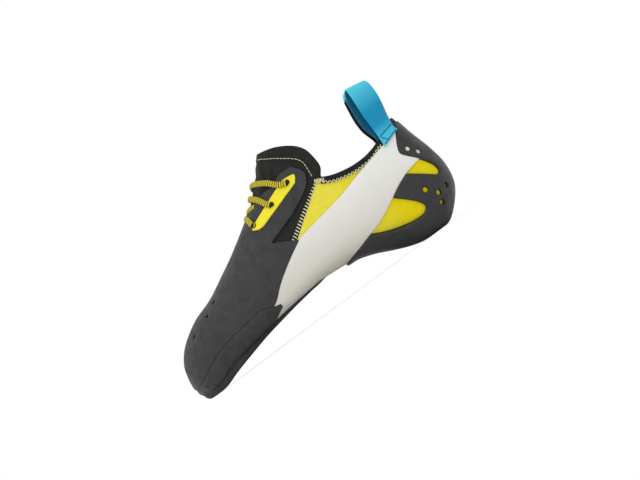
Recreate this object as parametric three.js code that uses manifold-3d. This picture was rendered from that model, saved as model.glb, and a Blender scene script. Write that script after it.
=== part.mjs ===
// A left climbing shoe of the downturned, lace-tightened kind, standing empty on its toe and heel.
// Millimetres. +Z is up, the toe points along -X and the outer side of the foot faces -Y.
// The origin is on the floor, under the flat spot of the heel.
//
// Every soft or glued piece is a layer of one form, the last. form(d) is the last grown outwards by d,
// so a layer is the space between two such forms, cut to its own outline by a prism.

import * as THREE from 'three';
import { mergeVertices } from 'three/addons/utils/BufferGeometryUtils.js';
import Module from 'manifold-3d';

const wasm = await Module();
wasm.setup();

// Driving sizes
const LENGTH = 240; // toe tip to the back of the heel
const INSTEP_HEIGHT = 120.5; // floor to the top edge of the cuff
const BALL_WIDTH = 82; // the last's width across the ball of the foot

// Thicknesses and clearances
const GAP = 0.3; // glue line between two curved layers
const WALL = 2; // upper and cuff
const OUTSOLE = 4; // rubber under the toe and under the heel
const OUTSOLE_SKIVED = 0.8; // the outsole's thin rear end
const PATCH_RUBBER = 1.4; // toe patch and eyestays
const RAND_RUBBER = 1.9;
const HEEL_RUBBER = 1.8; // heel cup at its sides and back
const HEEL_PRESS = 1.2; // how far the heel's rubber is worn flat against the floor
const BAND = 1.1; // pale tension band
const INSOLE = 1.6;
const INSOLE_RIM = 3; // how far the insole climbs the side
const SOLE_EDGE = 2; // how far the outsole's side climbs above the last's bottom
const SOLE_MARGIN = 11; // lasting margin left around the upper's bottom opening
const STRIP = 0.8; // eyelet strips
const EYELET_RADIUS = 2.1;
const BINDING = 0.8; // thickness of the collar binding
const BINDING_WIDTH = 2.8; // how far it reaches down each face of the collar
const LACE_RADIUS = 1.8;
const WEBBING = 1.3; // pull loop tape
const LOOP_LINING = 1; // dark lining tape behind each pull loop

// How finely a form is faceted: rings from toe to heel, and points on each side of a ring
const RINGS = 26;
const SIDE_POINTS = 10;

const LAST_LIFT = GAP + OUTSOLE;
const LAST_HEIGHT = INSTEP_HEIGHT - LAST_LIFT;
const HEEL_REST = 0.8644; // the origin's share of the length, from the toe

// Sections of the last from toe tip to heel back. A section stands in the plane through its low and its
// top point. X is in percent of LENGTH from the toe, Z in percent of LAST_HEIGHT above LAST_LIFT, widths
// in percent of BALL_WIDTH from the ridge line, and widest is the level of the full width in percent of
// the section's own height. The powers shape the superellipse below and above that level.
const SECTION_COLUMNS = [
  'lowX', 'lowZ', 'topX', 'topZ', 'ridge', 'lateral', 'medial', 'widest', 'lowPower', 'topPower',
];
const SECTIONS = [
  [0.7, 9.8, 0.7, 9.8, 18.3, 0, 0, 50, 2.0, 2.0], // toe tip
  [1.1, 4.3, 1.2, 15.9, 18.3, 9.0, 9.0, 50, 2.0, 2.0],
  [1.9, 1.0, 2.2, 22.0, 18.3, 18.3, 14.6, 44, 2.4, 2.0],
  [3.6, -0.6, 4.5, 28.4, 17.1, 28.0, 22.6, 38, 3.2, 2.1],
  [7.5, -0.3, 7.5, 33.6, 15.9, 39.6, 28.0, 33, 4.2, 2.2],
  [13.1, 3.7, 12.8, 39.8, 12.2, 48.8, 34.1, 30, 5.0, 2.2],
  [20.6, 7.8, 19.7, 44.6, 8.5, 55.5, 37.8, 28, 5.5, 2.2],
  [28.0, 11.3, 27.1, 52.0, 5.5, 58.5, 39.0, 26, 5.5, 2.1], // ball
  [36.0, 13.5, 34.5, 58.7, 3.0, 55.5, 37.2, 24, 5.0, 2.1],
  [43.1, 14.9, 40.7, 67.6, 1.2, 49.4, 34.8, 22, 4.2, 2.0],
  [49.3, 15.9, 46.1, 77.4, 0.6, 44.5, 32.9, 21, 3.4, 2.0], // arch
  [55.3, 15.2, 51.1, 87.8, 0, 40.2, 32.3, 20, 3.0, 2.0],
  [61.2, 13.9, 56.5, 100.0, 0, 37.8, 32.3, 20, 2.8, 2.0], // top of the cuff
  [67.4, 10.7, 62.7, 112.5, 0, 36.6, 32.9, 20, 2.6, 2.0],
  [73.4, 6.2, 70.1, 120.5, 0, 36.0, 34.1, 21, 2.5, 2.0],
  [78.7, 2.6, 78.4, 120.5, 0, 36.0, 34.8, 22, 2.5, 2.0],
  [83.5, 0.1, 85.8, 110.7, 0, 34.8, 34.1, 24, 3.2, 2.0],
  [87.9, -0.6, 91.2, 93.0, 0, 32.9, 32.3, 28, 3.8, 2.0], // heel seat
  [92.1, 2.1, 94.2, 72.2, 0, 29.3, 28.7, 34, 2.8, 2.0],
  [95.3, 8.0, 96.2, 54.4, 0, 22.6, 22.0, 40, 2.1, 2.0],
  [97.7, 15.9, 98.0, 40.4, 0, 13.4, 13.4, 46, 2.0, 2.0],
  [98.9, 27.5, 98.9, 27.5, 0, 0, 0, 50, 2.0, 2.0], // heel back
].map((row) => Object.fromEntries(SECTION_COLUMNS.map((name, i) => [name, row[i]])));
const LAST_STATION = SECTIONS.length - 1;
const SOLE_STATIONS = [2, 10]; // the outsole's upper edge runs from the toe to the arch
const SOLE_PLAN_STATIONS = [0.5, 10];

// Outlines seen from the side, for both sides of the shoe: X in percent of LENGTH from the toe and Z in
// percent of INSTEP_HEIGHT above the floor. Each line is one smooth run, and runs meet at corners.
const TOE_CREASE = [[0.4, 8.6], [3.9, 11.8], [6.9, 14.7], [12.8, 19.5], [18.8, 21.8], [24.7, 23.3], [29.2, 24.2],
  [31.5, 23.3], [33.2, 21.6]];
const PATCH_REAR = [[35.1, 23.6], [39.6, 31.0], [45.5, 40.1], [48.5, 44.2], [49.9, 46.6]];
const HEEL_TAB = [[92.4, 44.5], [90.4, 49.3], [90.4, 51.9], [91.5, 56.6], [93.6, 63.1]];
const OPENING = [
  [[35.4, 72.0], [40.1, 61.1], [44.6, 53.7], [49.6, 46.9]],
  [[66.0, 66.7]],
  [[67.7, 66.1], [69.8, 63.7], [72.5, 61.7], [75.5, 60.4], [78.4, 59.9], [81.4, 60.2], [84.4, 61.4], [87.0, 63.1],
    [90.0, 65.5], [92.7, 67.8], [94.7, 69.9], [101.9, 73.2]],
  [[101.9, 141.6]],
  [[42.5, 141.6]],
];
const COLLAR_RUN = 2; // the run of OPENING that is the collar's edge
const CUFF_END = [
  [[30.7, 20.0]],
  [[66.9, 60.0]],
  [[67.6, 67.6]],
  [[68.9, 73.2], [69.1, 81.4], [68.6, 86.7], [66.9, 91.4], [64.2, 95.3], [60.3, 98.7], [56.5, 100.3], [53.2, 101.2]],
  [[30.7, 103.8]],
];
const PATCH = [
  [[-5.0, 5.3]],
  TOE_CREASE,
  PATCH_REAR,
  [[43.7, 53.1]],
  [[48.5, 55.5], [54.4, 59.4], [58.8, 63.4], [61.8, 67.0], [63.3, 69.6]],
  [[64.2, 73.7]],
  [[63.7, 77.3]],
  [[61.5, 83.2]],
  [[56.2, 83.6]],
  [[51.4, 92.0]],
  [[36.6, 92.0]],
  [[-5.0, 53.1]],
];
const RAND = [
  [[-5.0, 5.3]],
  TOE_CREASE,
  [[35.4, 20.4]],
  [[35.6, 19.5]],
  [[35.4, 18.6]],
  [[32.1, 15.9]],
  [[30.1, 13.3]],
  [[30.1, -11.8]],
  [[-5.0, -11.8]],
];
const TENSION_BAND = [
  [[33.2, 21.6]],
  [...PATCH_REAR.slice(0, -1), [50.5, 46.6]],
  [[52.9, 47.4], [57.4, 48.4], [63.3, 50.1], [69.2, 51.9], [75.2, 54.7], [81.1, 57.0], [87.3, 59.8], [93.6, 63.1]],
  HEEL_TAB.toReversed().slice(1),
  [[94.2, 40.7]],
  [[91.5, 39.8], [88.2, 38.3], [84.1, 35.1], [80.5, 31.3], [78.1, 28.9], [75.2, 26.0], [72.2, 23.6], [68.9, 21.8],
    [63.3, 18.6], [58.0, 15.9]],
  [[56.2, -11.8]],
  [[20.0, -11.8]],
];
const HEEL_CUP = [
  [[58.0, 15.9]],
  [[63.3, 18.6], [68.9, 21.8]],
  [[72.2, 18.3], [75.2, 15.9], [78.1, 14.2], [81.1, 13.0], [84.1, 12.8], [85.8, 13.6], [86.9, 15.9], [86.7, 18.3],
    [85.5, 21.8], [84.1, 24.8], [82.6, 27.7], [80.5, 31.3]],
  [[84.1, 35.1], [88.2, 38.3]],
  [[90.0, 35.7], [93.0, 31.3], [95.3, 27.9], [96.2, 27.1], [97.0, 28.3], [97.1, 30.7], [96.7, 33.6], [95.6, 37.2],
    [94.2, 40.7]],
  HEEL_TAB,
  [[94.9, 67.0]],
  [[103.4, 69.6]],
  [[103.4, -11.8]],
  [[56.2, -11.8]],
];
const EYELET_STRIP = [
  [[41.6, 66.1]],
  [[43.6, 68.3], [55.0, 77.5], [58.0, 79.5]],
  [[61.4, 78.9]],
  [[61.7, 77.3]],
  [[60.0, 73.2]],
  [[45.2, 63.7]],
  [[43.4, 63.6]],
  [[41.8, 65.1]],
];

// The gap between the eyestays: X in percent of LENGTH, and half the gap in percent of BALL_WIDTH
const THROAT = [[41.4, 0], [43.0, 6.0], [45.5, 10.5], [48.0, 14.0], [51.4, 17.5], [56.2, 20.0], [62.0, 21.5], [70.0, 22.5]];

// Eyelets, on the side outline's scales. The rear one is on the lateral side alone, and the last row is
// where a strand comes out from under the lateral eyestay.
const EYELETS = [
  { name: 'front', x: 43.4, z: 65.5, sides: [-1, 1] },
  { name: 'middle', x: 50.8, z: 71.1, sides: [-1, 1] },
  { name: 'rear', x: 58.8, z: 76.7, sides: [-1] },
];
const LACE_EXIT = { name: 'exit', x: 47.0, z: 75.6, sides: [-1] };
// Each lace is strands from a lateral eyelet over the ridge, at the given X, to a medial one
const LACES = {
  lace_front: [['front', 41.4, 'front'], ['exit', 43.9, 'front']],
  lace_rear: [['middle', 47.3, 'middle'], ['rear', 49.6, 'middle']],
};

// Pull loops. The tape's two edges at the collar, and where its top is over each, on the outline's scales
const LOOP_EDGES = [
  { x: 87.6, top: 99.4 },
  { x: 92.7, top: 97.4 },
];
const LOOP_LEAN = 4; // how far the top leans towards the heel
const LOOP_HEIGHT = 41; // the height that the lines below are drawn for
const LOOP_SEAT = 6.2; // how far the tape is sewn down below the collar's edge
// Centre lines across the collar: outwards from the wall's middle, and up from the collar's edge
const LOOP_LINE = [[3.8, -LOOP_SEAT], [3.8, 1], [3.8, 14], [3.4, 27], [2.2, 36], [-0.4, 40.3], [-3.2, 38], [-5.2, 31],
  [-6.4, 20], [-5.6, 9], [-3.7, 1], [-3.35, -LOOP_SEAT]];
const LOOP_LINING_LINE = [[-4.95, -LOOP_SEAT], [-5.3, 1], [-8.6, 9], [-10.6, 19], [-9.2, 28], [-6.4, 35.5]];

/** A station's section row, by a Catmull-Rom curve through each column that runs on round both tips. */
function sectionAt(station) {
  const k = Math.min(Math.floor(station), LAST_STATION - 1);
  const rows = [k - 1, k, k + 1, k + 2].map((i) => {
    if (i >= 0 && i <= LAST_STATION) return SECTIONS[i];
    const twin = SECTIONS[i < 0 ? -i : 2 * LAST_STATION - i];
    return {
      ...twin,
      lowX: twin.topX, lowZ: twin.topZ, topX: twin.lowX, topZ: twin.lowZ,
      lateral: -twin.medial, medial: -twin.lateral, widest: 100 - twin.widest,
    };
  });
  const t = station - k;
  const weights = [
    (-t + 2 * t * t - t * t * t) / 2,
    (2 - 5 * t * t + 3 * t * t * t) / 2,
    (t + 4 * t * t - 3 * t * t * t) / 2,
    (-t * t + t * t * t) / 2,
  ];
  const blend = (name) => rows.reduce((sum, row, i) => sum + weights[i] * row[name], 0);
  return Object.fromEntries(SECTION_COLUMNS.map((name) => [name, blend(name)]));
}

const alongX = (percent) => (percent / 100 - HEEL_REST) * LENGTH;
const upLast = (percent) => LAST_LIFT + (percent / 100) * LAST_HEIGHT;
const overFloor = (percent) => (percent / 100) * INSTEP_HEIGHT;
const across = (percent) => (percent / 100) * BALL_WIDTH;

/** A section's corner points and its outline: rise and reach, as shares, for an angle from low to top. */
function sectionFrame(station, lowPower) {
  const row = sectionAt(station);
  const low = new THREE.Vector2(alongX(row.lowX), upLast(row.lowZ));
  const top = new THREE.Vector2(alongX(row.topX), upLast(row.topZ));
  const widest = row.widest / 100;
  const outline = (angle) => {
    const level = Math.cos(angle);
    const power = level > 0 ? (lowPower ?? row.lowPower) : row.topPower;
    const from = Math.abs(level) ** (2 / power);
    const rise = level > 0 ? widest * (1 - from) : widest + (1 - widest) * from;
    return { rise, reach: Math.sin(angle) ** (2 / power) };
  };
  return { low, top, outline, ridge: across(row.ridge), lateral: across(row.lateral), medial: across(row.medial) };
}

const OUTLINE_STEPS = 90;
const sideTables = new Map();

/** Points of one side of a section from low to top, with the length run so far. */
function sideTable(station, lateral, lowPower) {
  const key = `${station} ${lateral} ${lowPower}`;
  if (!sideTables.has(key)) {
    const frame = sectionFrame(station, lowPower);
    const width = lateral ? -frame.lateral : frame.medial;
    const points = [];
    for (let i = 0; i <= OUTLINE_STEPS; i++) {
      const { rise, reach } = frame.outline((Math.PI * i) / OUTLINE_STEPS);
      const spine = frame.low.clone().lerp(frame.top, rise);
      points.push(new THREE.Vector3(spine.x, frame.ridge + width * reach, spine.y));
    }
    const run = [0];
    for (let i = 1; i <= OUTLINE_STEPS; i++) run.push(run[i - 1] + points[i].distanceTo(points[i - 1]));
    sideTables.set(key, { points, run });
  }
  return sideTables.get(key);
}

/** A point of the last. Girth runs from 0 at the sole's middle to 1 at the ridge, below 0 on the lateral side. */
function lastPoint(station, girth, lowPower) {
  const wrapped = girth > 1 ? girth - 2 : girth < -1 ? girth + 2 : girth;
  const { points, run } = sideTable(station, wrapped < 0, lowPower);
  const wanted = Math.abs(wrapped) * run[OUTLINE_STEPS];
  let i = 1;
  while (i < OUTLINE_STEPS && run[i] < wanted) i++;
  const step = run[i] - run[i - 1];
  return points[i - 1].clone().lerp(points[i], step > 0 ? (wanted - run[i - 1]) / step : 0);
}

/** The last's outward normal at a station and girth. */
function lastNormal(station, girth, lowPower) {
  if (station === 0 || station === LAST_STATION) return new THREE.Vector3(station === 0 ? -1 : 1, 0, 0);
  const du = Math.min(0.05, station, LAST_STATION - station);
  const dv = 0.02;
  const along = lastPoint(station + du, girth, lowPower).sub(lastPoint(station - du, girth, lowPower));
  const around = lastPoint(station, girth + dv, lowPower).sub(lastPoint(station, girth - dv, lowPower));
  return around.cross(along).normalize();
}

/** Turns a closed geometry into a solid. */
function solid(geometry) {
  const bare = geometry.clone();
  bare.deleteAttribute('normal');
  bare.deleteAttribute('uv');
  const merged = mergeVertices(bare, 1e-4);
  return new wasm.Manifold(
    new wasm.Mesh({
      numProp: 3,
      vertProperties: new Float32Array(merged.attributes.position.array),
      triVerts: new Uint32Array(merged.index.array),
    }),
  );
}

/** The whole last as a closed solid, each point moved by place(point, normal), which returns the new point. */
function lastSolid(place, lowPower) {
  const ringPoints = 2 * SIDE_POINTS;
  const positions = [];
  const add = (station, girth) => {
    const point = place(lastPoint(station, girth, lowPower), lastNormal(station, girth, lowPower));
    positions.push(point.x, point.y, point.z);
  };
  add(0, 0);
  for (let i = 1; i < RINGS; i++) {
    for (let j = 0; j < ringPoints; j++) add((LAST_STATION * i) / RINGS, j / SIDE_POINTS - 1);
  }
  add(LAST_STATION, 0);
  const tip = 0;
  const back = positions.length / 3 - 1;
  const at = (i, j) => 1 + (i - 1) * ringPoints + (j % ringPoints);
  const index = [];
  for (let j = 0; j < ringPoints; j++) {
    index.push(tip, at(1, j + 1), at(1, j), back, at(RINGS - 1, j), at(RINGS - 1, j + 1));
    for (let i = 1; i < RINGS - 1; i++) {
      index.push(at(i, j), at(i + 1, j + 1), at(i + 1, j), at(i, j), at(i, j + 1), at(i + 1, j + 1));
    }
  }
  const geometry = new THREE.BufferGeometry();
  geometry.setAttribute('position', new THREE.Float32BufferAttribute(positions, 3));
  geometry.setIndex(index);
  return solid(geometry);
}

const forms = new Map();

/** The last grown outwards by d, or shrunk where d is negative. */
function form(d) {
  if (!forms.has(d)) forms.set(d, lastSolid((point, normal) => point.addScaledVector(normal, d)));
  return forms.get(d);
}

const layer = (inner, outer) => form(outer).subtract(form(inner));

/** Samples an outline's runs into one closed list of points. */
function trace(runs, toPlane) {
  const points = [];
  for (const run of runs) {
    const ends = run.map(([x, z]) => toPlane(x, z));
    if (points.length) ends.unshift(points.pop());
    const steps = ends.length > 2 ? Math.ceil(1.3 * (ends.length - 1)) : 1;
    points.push(...(ends.length > 1 ? new THREE.SplineCurve(ends).getPoints(steps) : ends));
  }
  return points;
}

/** Moves a closed list of points outwards by d, or inwards where d is negative. */
function grow(points, d) {
  const turn = Math.sign(THREE.ShapeUtils.area(points));
  return points.map((point, i) => {
    const before = points[(i + points.length - 1) % points.length];
    const after = points[(i + 1) % points.length];
    const first = point.clone().sub(before).normalize();
    const second = after.clone().sub(point).normalize();
    const normal = new THREE.Vector2(first.y + second.y, -first.x - second.x).multiplyScalar(turn).normalize();
    const corner = Math.max(0.4, Math.sqrt((1 + first.dot(second)) / 2));
    return point.clone().addScaledVector(normal, d / corner);
  });
}

const WIDE = 100; // beyond either side of the shoe

/** A prism across the shoe, from an outline seen from the side. */
function sidePrism(points, fromY = -WIDE, toY = WIDE) {
  const geometry = new THREE.ExtrudeGeometry(new THREE.Shape(points), { depth: toY - fromY, bevelEnabled: false });
  return solid(geometry.rotateX(Math.PI / 2).translate(0, toY, 0));
}

/** An upright prism, from an outline seen from above. */
function planPrism(points, fromZ, toZ) {
  const geometry = new THREE.ExtrudeGeometry(new THREE.Shape(points), { depth: toZ - fromZ, bevelEnabled: false });
  return solid(geometry.translate(0, 0, fromZ));
}

const sideTrace = (runs) => trace(runs, (x, z) => new THREE.Vector2(alongX(x), overFloor(z)));

/** Everything lower than the last's bottom line raised by the given height, between two stations. */
function belowBottom(height, [from, to], y = WIDE) {
  const line = [];
  for (let station = from; station <= to; station += 0.5) {
    const { low } = sectionFrame(station);
    line.push(new THREE.Vector2(low.x, low.y + height));
  }
  const first = line[0];
  const last = line.at(-1);
  const floor = -3 * OUTSOLE;
  line.unshift(new THREE.Vector2(first.x - OUTSOLE, floor), new THREE.Vector2(first.x - OUTSOLE, first.y));
  line.push(new THREE.Vector2(last.x, floor));
  return sidePrism(line, -y, y);
}

/** The last's outline from above, a given height over its bottom, its sides moved inwards by inset. */
function planOutline(height, inset, [from, to]) {
  const sides = { lateral: [], medial: [] };
  for (let station = from; station <= to; station += 0.5) {
    const frame = sectionFrame(station);
    const share = height / frame.low.distanceTo(frame.top);
    let angle = 0;
    while (frame.outline(angle).rise < share && angle < Math.PI / 2) angle += 0.02;
    const { reach } = frame.outline(angle);
    sides.lateral.push(new THREE.Vector2(frame.low.x, frame.ridge - frame.lateral * reach + inset));
    sides.medial.push(new THREE.Vector2(frame.low.x, frame.ridge + frame.medial * reach - inset));
  }
  return [...sides.lateral.reverse(), ...sides.medial];
}

/** The outsole's thickness at x: full at the toe, skived thin at the arch. */
function soleThickness(x) {
  const share = THREE.MathUtils.smoothstep(x, alongX(24), alongX(SOLE_END));
  return THREE.MathUtils.lerp(OUTSOLE, OUTSOLE_SKIVED, share);
}

const SOLE_END = SECTIONS[SOLE_STATIONS[1]].lowX;
const shelf = belowBottom(SOLE_EDGE, SOLE_STATIONS);
const overlayFoot = belowBottom(SOLE_EDGE + GAP, SOLE_STATIONS);

/** An overlay glued on the upper, cut to a side outline and clear of the outsole and of its neighbours. */
function overlay(thickness, points) {
  return layer(GAP, GAP + thickness).intersect(sidePrism(grow(points, -GAP / 2))).subtract(overlayFoot);
}

const openingPoints = sideTrace(OPENING);
const opening = sidePrism(openingPoints);

function makeUpper() {
  const outline = planOutline(SOLE_EDGE, SOLE_MARGIN, [4, SOLE_STATIONS[1] - 1]);
  const window = planPrism(outline, -OUTSOLE, INSTEP_HEIGHT).intersect(belowBottom(3 * WALL, SOLE_STATIONS));
  return form(0).subtract(form(-WALL)).subtract(opening).subtract(window);
}

function makeCuff() {
  return layer(-WALL, 0)
    .intersect(sidePrism(grow(openingPoints, -GAP)))
    .intersect(sidePrism(sideTrace(CUFF_END)));
}

function makeInsole() {
  const top = -WALL - GAP - INSOLE;
  return layer(top, -WALL - GAP).intersect(belowBottom(INSOLE_RIM - top, [2, LAST_STATION - 2.5]));
}

function makeOutsole() {
  const flatPower = 9;
  const tread = lastSolid((point, normal) => {
    const drop = GAP + soleThickness(point.x);
    point.addScaledVector(normal.clone().setZ(0), 2 * RAND_RUBBER);
    point.z = Math.max(0, point.z - drop);
    return point;
  }, flatPower);
  const outline = grow(planOutline(SOLE_EDGE, 0, SOLE_PLAN_STATIONS), GAP + RAND_RUBBER);
  return tread.intersect(planPrism(outline, -OUTSOLE, INSTEP_HEIGHT)).intersect(shelf).subtract(form(GAP));
}

function makeToePatch() {
  const lateral = THROAT.map(([x, half]) => new THREE.Vector2(alongX(x), -across(half)));
  const medial = THROAT.map(([x, half]) => new THREE.Vector2(alongX(x), across(half))).reverse();
  const throat = planPrism([...lateral, ...medial.slice(0, -1)], 0, 2 * INSTEP_HEIGHT);
  return overlay(PATCH_RUBBER, sideTrace(PATCH)).subtract(throat).subtract(eyeletHoles);
}

/** A heel form that is as thick as the outsole where it faces the floor, and flat on the floor. */
function heelForm() {
  return lastSolid((point, normal) => {
    const under = THREE.MathUtils.smoothstep(-normal.z, 0.2, 0.9);
    point.addScaledVector(normal, GAP + THREE.MathUtils.lerp(HEEL_RUBBER, OUTSOLE + HEEL_PRESS, under));
    point.z = Math.max(0, point.z);
    return point;
  });
}

function makeHeelCup() {
  return heelForm().subtract(form(GAP)).intersect(sidePrism(grow(sideTrace(HEEL_CUP), -GAP / 2)));
}

function makeBinding() {
  const edge = trace([OPENING[1], OPENING[COLLAR_RUN]], (x, z) => new THREE.Vector2(alongX(x), overFloor(z)));
  const strip = (above, below) => {
    const upperLine = edge.map((point) => new THREE.Vector2(point.x, point.y + above));
    const lowerLine = edge.map((point) => new THREE.Vector2(point.x, point.y - below)).reverse();
    return sidePrism([...upperLine, ...lowerLine]);
  };
  const around = layer(-WALL - GAP - BINDING, GAP + BINDING).intersect(strip(GAP + BINDING, BINDING_WIDTH));
  const seat = layer(-WALL - GAP, GAP).intersect(strip(GAP, 2 * BINDING_WIDTH));
  return around.subtract(seat).subtract(sidePrism(grow(sideTrace(CUFF_END), GAP)));
}

/** The station where the last has the given x at a girth. */
function stationAt(x, girth) {
  let low = 0.5;
  let high = LAST_STATION - 0.5;
  for (let i = 0; i < 30; i++) {
    const middle = (low + high) / 2;
    if (lastPoint(middle, girth).x < x) low = middle;
    else high = middle;
  }
  return low;
}

/** A point at a height over the last, and the outward normal there. */
function pointOver(percentX, girth, height) {
  const station = stationAt(alongX(percentX), girth);
  const normal = lastNormal(station, girth);
  return { point: lastPoint(station, girth).addScaledVector(normal, height), normal };
}

/** The girth where one side of the last passes through a point of the side view. */
function girthAt({ x, z }, side) {
  let low = 0.2;
  let high = 1;
  for (let i = 0; i < 20; i++) {
    const middle = (low + high) / 2;
    if (pointOver(x, side * middle, 0).point.z < overFloor(z)) low = middle;
    else high = middle;
  }
  return side * low;
}

const eyeletHoles = wasm.Manifold.union(
  EYELETS.flatMap((eyelet) =>
    eyelet.sides.map((side) => {
      const { point, normal } = pointOver(eyelet.x, girthAt(eyelet, side), GAP + PATCH_RUBBER);
      const pin = new THREE.CylinderGeometry(EYELET_RADIUS, EYELET_RADIUS, 4 * PATCH_RUBBER, 10);
      const turn = new THREE.Quaternion().setFromUnitVectors(new THREE.Vector3(0, 1, 0), normal);
      return solid(pin.applyQuaternion(turn).translate(point.x, point.y, point.z));
    }),
  ),
);

function makeEyeletStrip(side) {
  const inner = GAP + PATCH_RUBBER + GAP;
  const points = sideTrace(EYELET_STRIP);
  const half = side < 0 ? sidePrism(points, -WIDE, 0) : sidePrism(points, 0, WIDE);
  return layer(inner, inner + STRIP).intersect(half).subtract(eyeletHoles);
}

/** A lace strand from a lateral hole over the ridge to a medial one. */
function makeStrand([lateralName, ridgeX, medialName]) {
  const seat = GAP + PATCH_RUBBER + GAP + STRIP + 2 * GAP + LACE_RADIUS;
  const overRidge = GAP + PATCH_RUBBER + GAP + LACE_RADIUS;
  const find = (name) => [...EYELETS, LACE_EXIT].find((hole) => hole.name === name);
  const points = [pointOver(ridgeX, 1, overRidge).point];
  for (const [name, side] of [[lateralName, -1], [medialName, 1]]) {
    const hole = find(name);
    const girth = girthAt(hole, side);
    const half = pointOver((hole.x + ridgeX) / 2, (girth + side) / 2, (seat + overRidge) / 2).point;
    const end = pointOver(hole.x, girth, seat).point;
    if (side < 0) points.unshift(end, half);
    else points.push(half, end);
  }
  const section = new THREE.Shape();
  section.absarc(0, 0, LACE_RADIUS, 0, 2 * Math.PI);
  const path = new THREE.CatmullRomCurve3(points);
  const options = { steps: 9, extrudePath: path, bevelEnabled: false, curveSegments: 4 };
  return solid(new THREE.ExtrudeGeometry(section, options));
}

/** A tape's profile: the centre line offset to both sides by half the thickness. */
function tapeProfile(line, thickness) {
  const offset = (distance) =>
    line.map((point, i) => {
      const before = line[Math.max(0, i - 1)];
      const after = line[Math.min(line.length - 1, i + 1)];
      const run = after.clone().sub(before).normalize();
      return new THREE.Vector2(point.x - distance * run.y, point.y + distance * run.x);
    });
  return new THREE.Shape([...offset(thickness / 2), ...offset(-thickness / 2).reverse()]);
}

/** The height of the collar's edge at x, in percent of INSTEP_HEIGHT. */
function collarHeight(percentX) {
  const run = OPENING[COLLAR_RUN];
  const i = run.findIndex(([x]) => x > percentX);
  const [x0, z0] = run[i - 1];
  const [x1, z1] = run[i];
  return z0 + ((z1 - z0) * (percentX - x0)) / (x1 - x0);
}

/** One tape of a pull loop: its profile across the collar, carried along the collar's edge. */
function makeLoopTape(side, line, thickness) {
  const curve = new THREE.SplineCurve(line.map(([out, up]) => new THREE.Vector2(out, up)));
  const profile = tapeProfile(curve.getPoints(2 * line.length), thickness);
  const steps = 4;
  const geometry = new THREE.ExtrudeGeometry(profile, { depth: steps, steps, bevelEnabled: false });
  const stands = Array.from({ length: steps + 1 }, (_, i) => {
    const share = i / steps;
    const x = THREE.MathUtils.lerp(LOOP_EDGES[0].x, LOOP_EDGES[1].x, share);
    const seat = pointOver(x, girthAt({ x, z: collarHeight(x) }, side), -WALL / 2);
    const top = overFloor(THREE.MathUtils.lerp(LOOP_EDGES[0].top, LOOP_EDGES[1].top, share));
    return { ...seat, stretch: (top - seat.point.z) / LOOP_HEIGHT };
  });
  if (side < 0) stands.reverse();
  const place = geometry.attributes.position;
  for (let i = 0; i < place.count; i++) {
    const { point, normal, stretch } = stands[Math.round(place.getZ(i))];
    const flat = normal.clone().setZ(0).normalize();
    const up = place.getY(i) > 0 ? place.getY(i) * stretch : place.getY(i);
    const wallSlope = normal.z / Math.hypot(normal.x, normal.y);
    const moved = point.clone().addScaledVector(flat, place.getX(i) - Math.min(0, up) * wallSlope);
    place.setXYZ(i, moved.x + (LOOP_LEAN * up) / LOOP_HEIGHT, moved.y, moved.z + up);
  }
  const collarWall = layer(-WALL - BINDING - 2 * GAP, GAP + HEEL_RUBBER + GAP).subtract(opening);
  return solid(geometry).subtract(collarWall);
}

/** A finished piece as a named mesh. */
function piece(name, body, colour, roughness) {
  const made = body.getMesh();
  const geometry = new THREE.BufferGeometry();
  geometry.setAttribute('position', new THREE.Float32BufferAttribute(made.vertProperties, 3));
  geometry.setIndex(new THREE.Uint32BufferAttribute(made.triVerts, 1));
  geometry.computeVertexNormals();
  const mesh = new THREE.Mesh(geometry, new THREE.MeshStandardMaterial({ color: colour, roughness, metalness: 0 }));
  mesh.name = name;
  return mesh;
}

const shoe = new THREE.Group();
shoe.add(
  piece('upper', makeUpper(), '#e6dc2a', 0.85),
  piece('cuff', makeCuff(), '#242523', 0.9),
  piece('insole', makeInsole(), '#2b2b2b', 0.9),
  piece('outsole', makeOutsole(), '#2f2f2e', 0.7),
  piece('toe_patch', makeToePatch(), '#454546', 0.7),
  piece('toe_rand', overlay(RAND_RUBBER, sideTrace(RAND)), '#3a3a37', 0.7),
  piece('tension_band', overlay(BAND, sideTrace(TENSION_BAND)).subtract(sidePrism(grow(sideTrace(RAND), GAP / 2))),
    '#dedfda', 0.6),
  piece('heel_cup', makeHeelCup(), '#3b3b3a', 0.65),
  piece('collar_binding', makeBinding(), '#262524', 0.9),
);
for (const [name, side] of [['lateral', -1], ['medial', 1]]) {
  shoe.add(
    piece(`eyelet_strip_${name}`, makeEyeletStrip(side), '#f0e526', 0.6),
    piece(`pull_loop_${name}`, makeLoopTape(side, LOOP_LINE, WEBBING), '#1793ba', 0.8),
    piece(`loop_lining_${name}`, makeLoopTape(side, LOOP_LINING_LINE, LOOP_LINING), '#202020', 0.85),
  );
}
for (const [name, strands] of Object.entries(LACES)) {
  shoe.add(piece(name, wasm.Manifold.union(strands.map(makeStrand)), '#b9ab1c', 0.85));
}

export default shoe;
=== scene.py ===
"""The looks of a left climbing shoe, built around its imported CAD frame.

Every soft or glued piece is a panel of one form, the last: a surface worked out from a short table of
sections on a fine grid of station (toe to heel) and girth (sole to ridge). A panel is that grid cut along
an outline drawn in the side view, lifted off the last by its glue line and thickness, with rounded edges.
Lengths are in millimetres until a mesh is made, and the row's frame is the CAD's: +Z up, the toe along -X
and the outer side of the foot facing -Y.
"""

from __future__ import annotations

import logging
import math
from collections.abc import Callable
from dataclasses import dataclass, field
from enum import Enum

import bpy
import numpy as np
from mathutils import Matrix, Vector
from numpy.typing import NDArray

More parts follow.
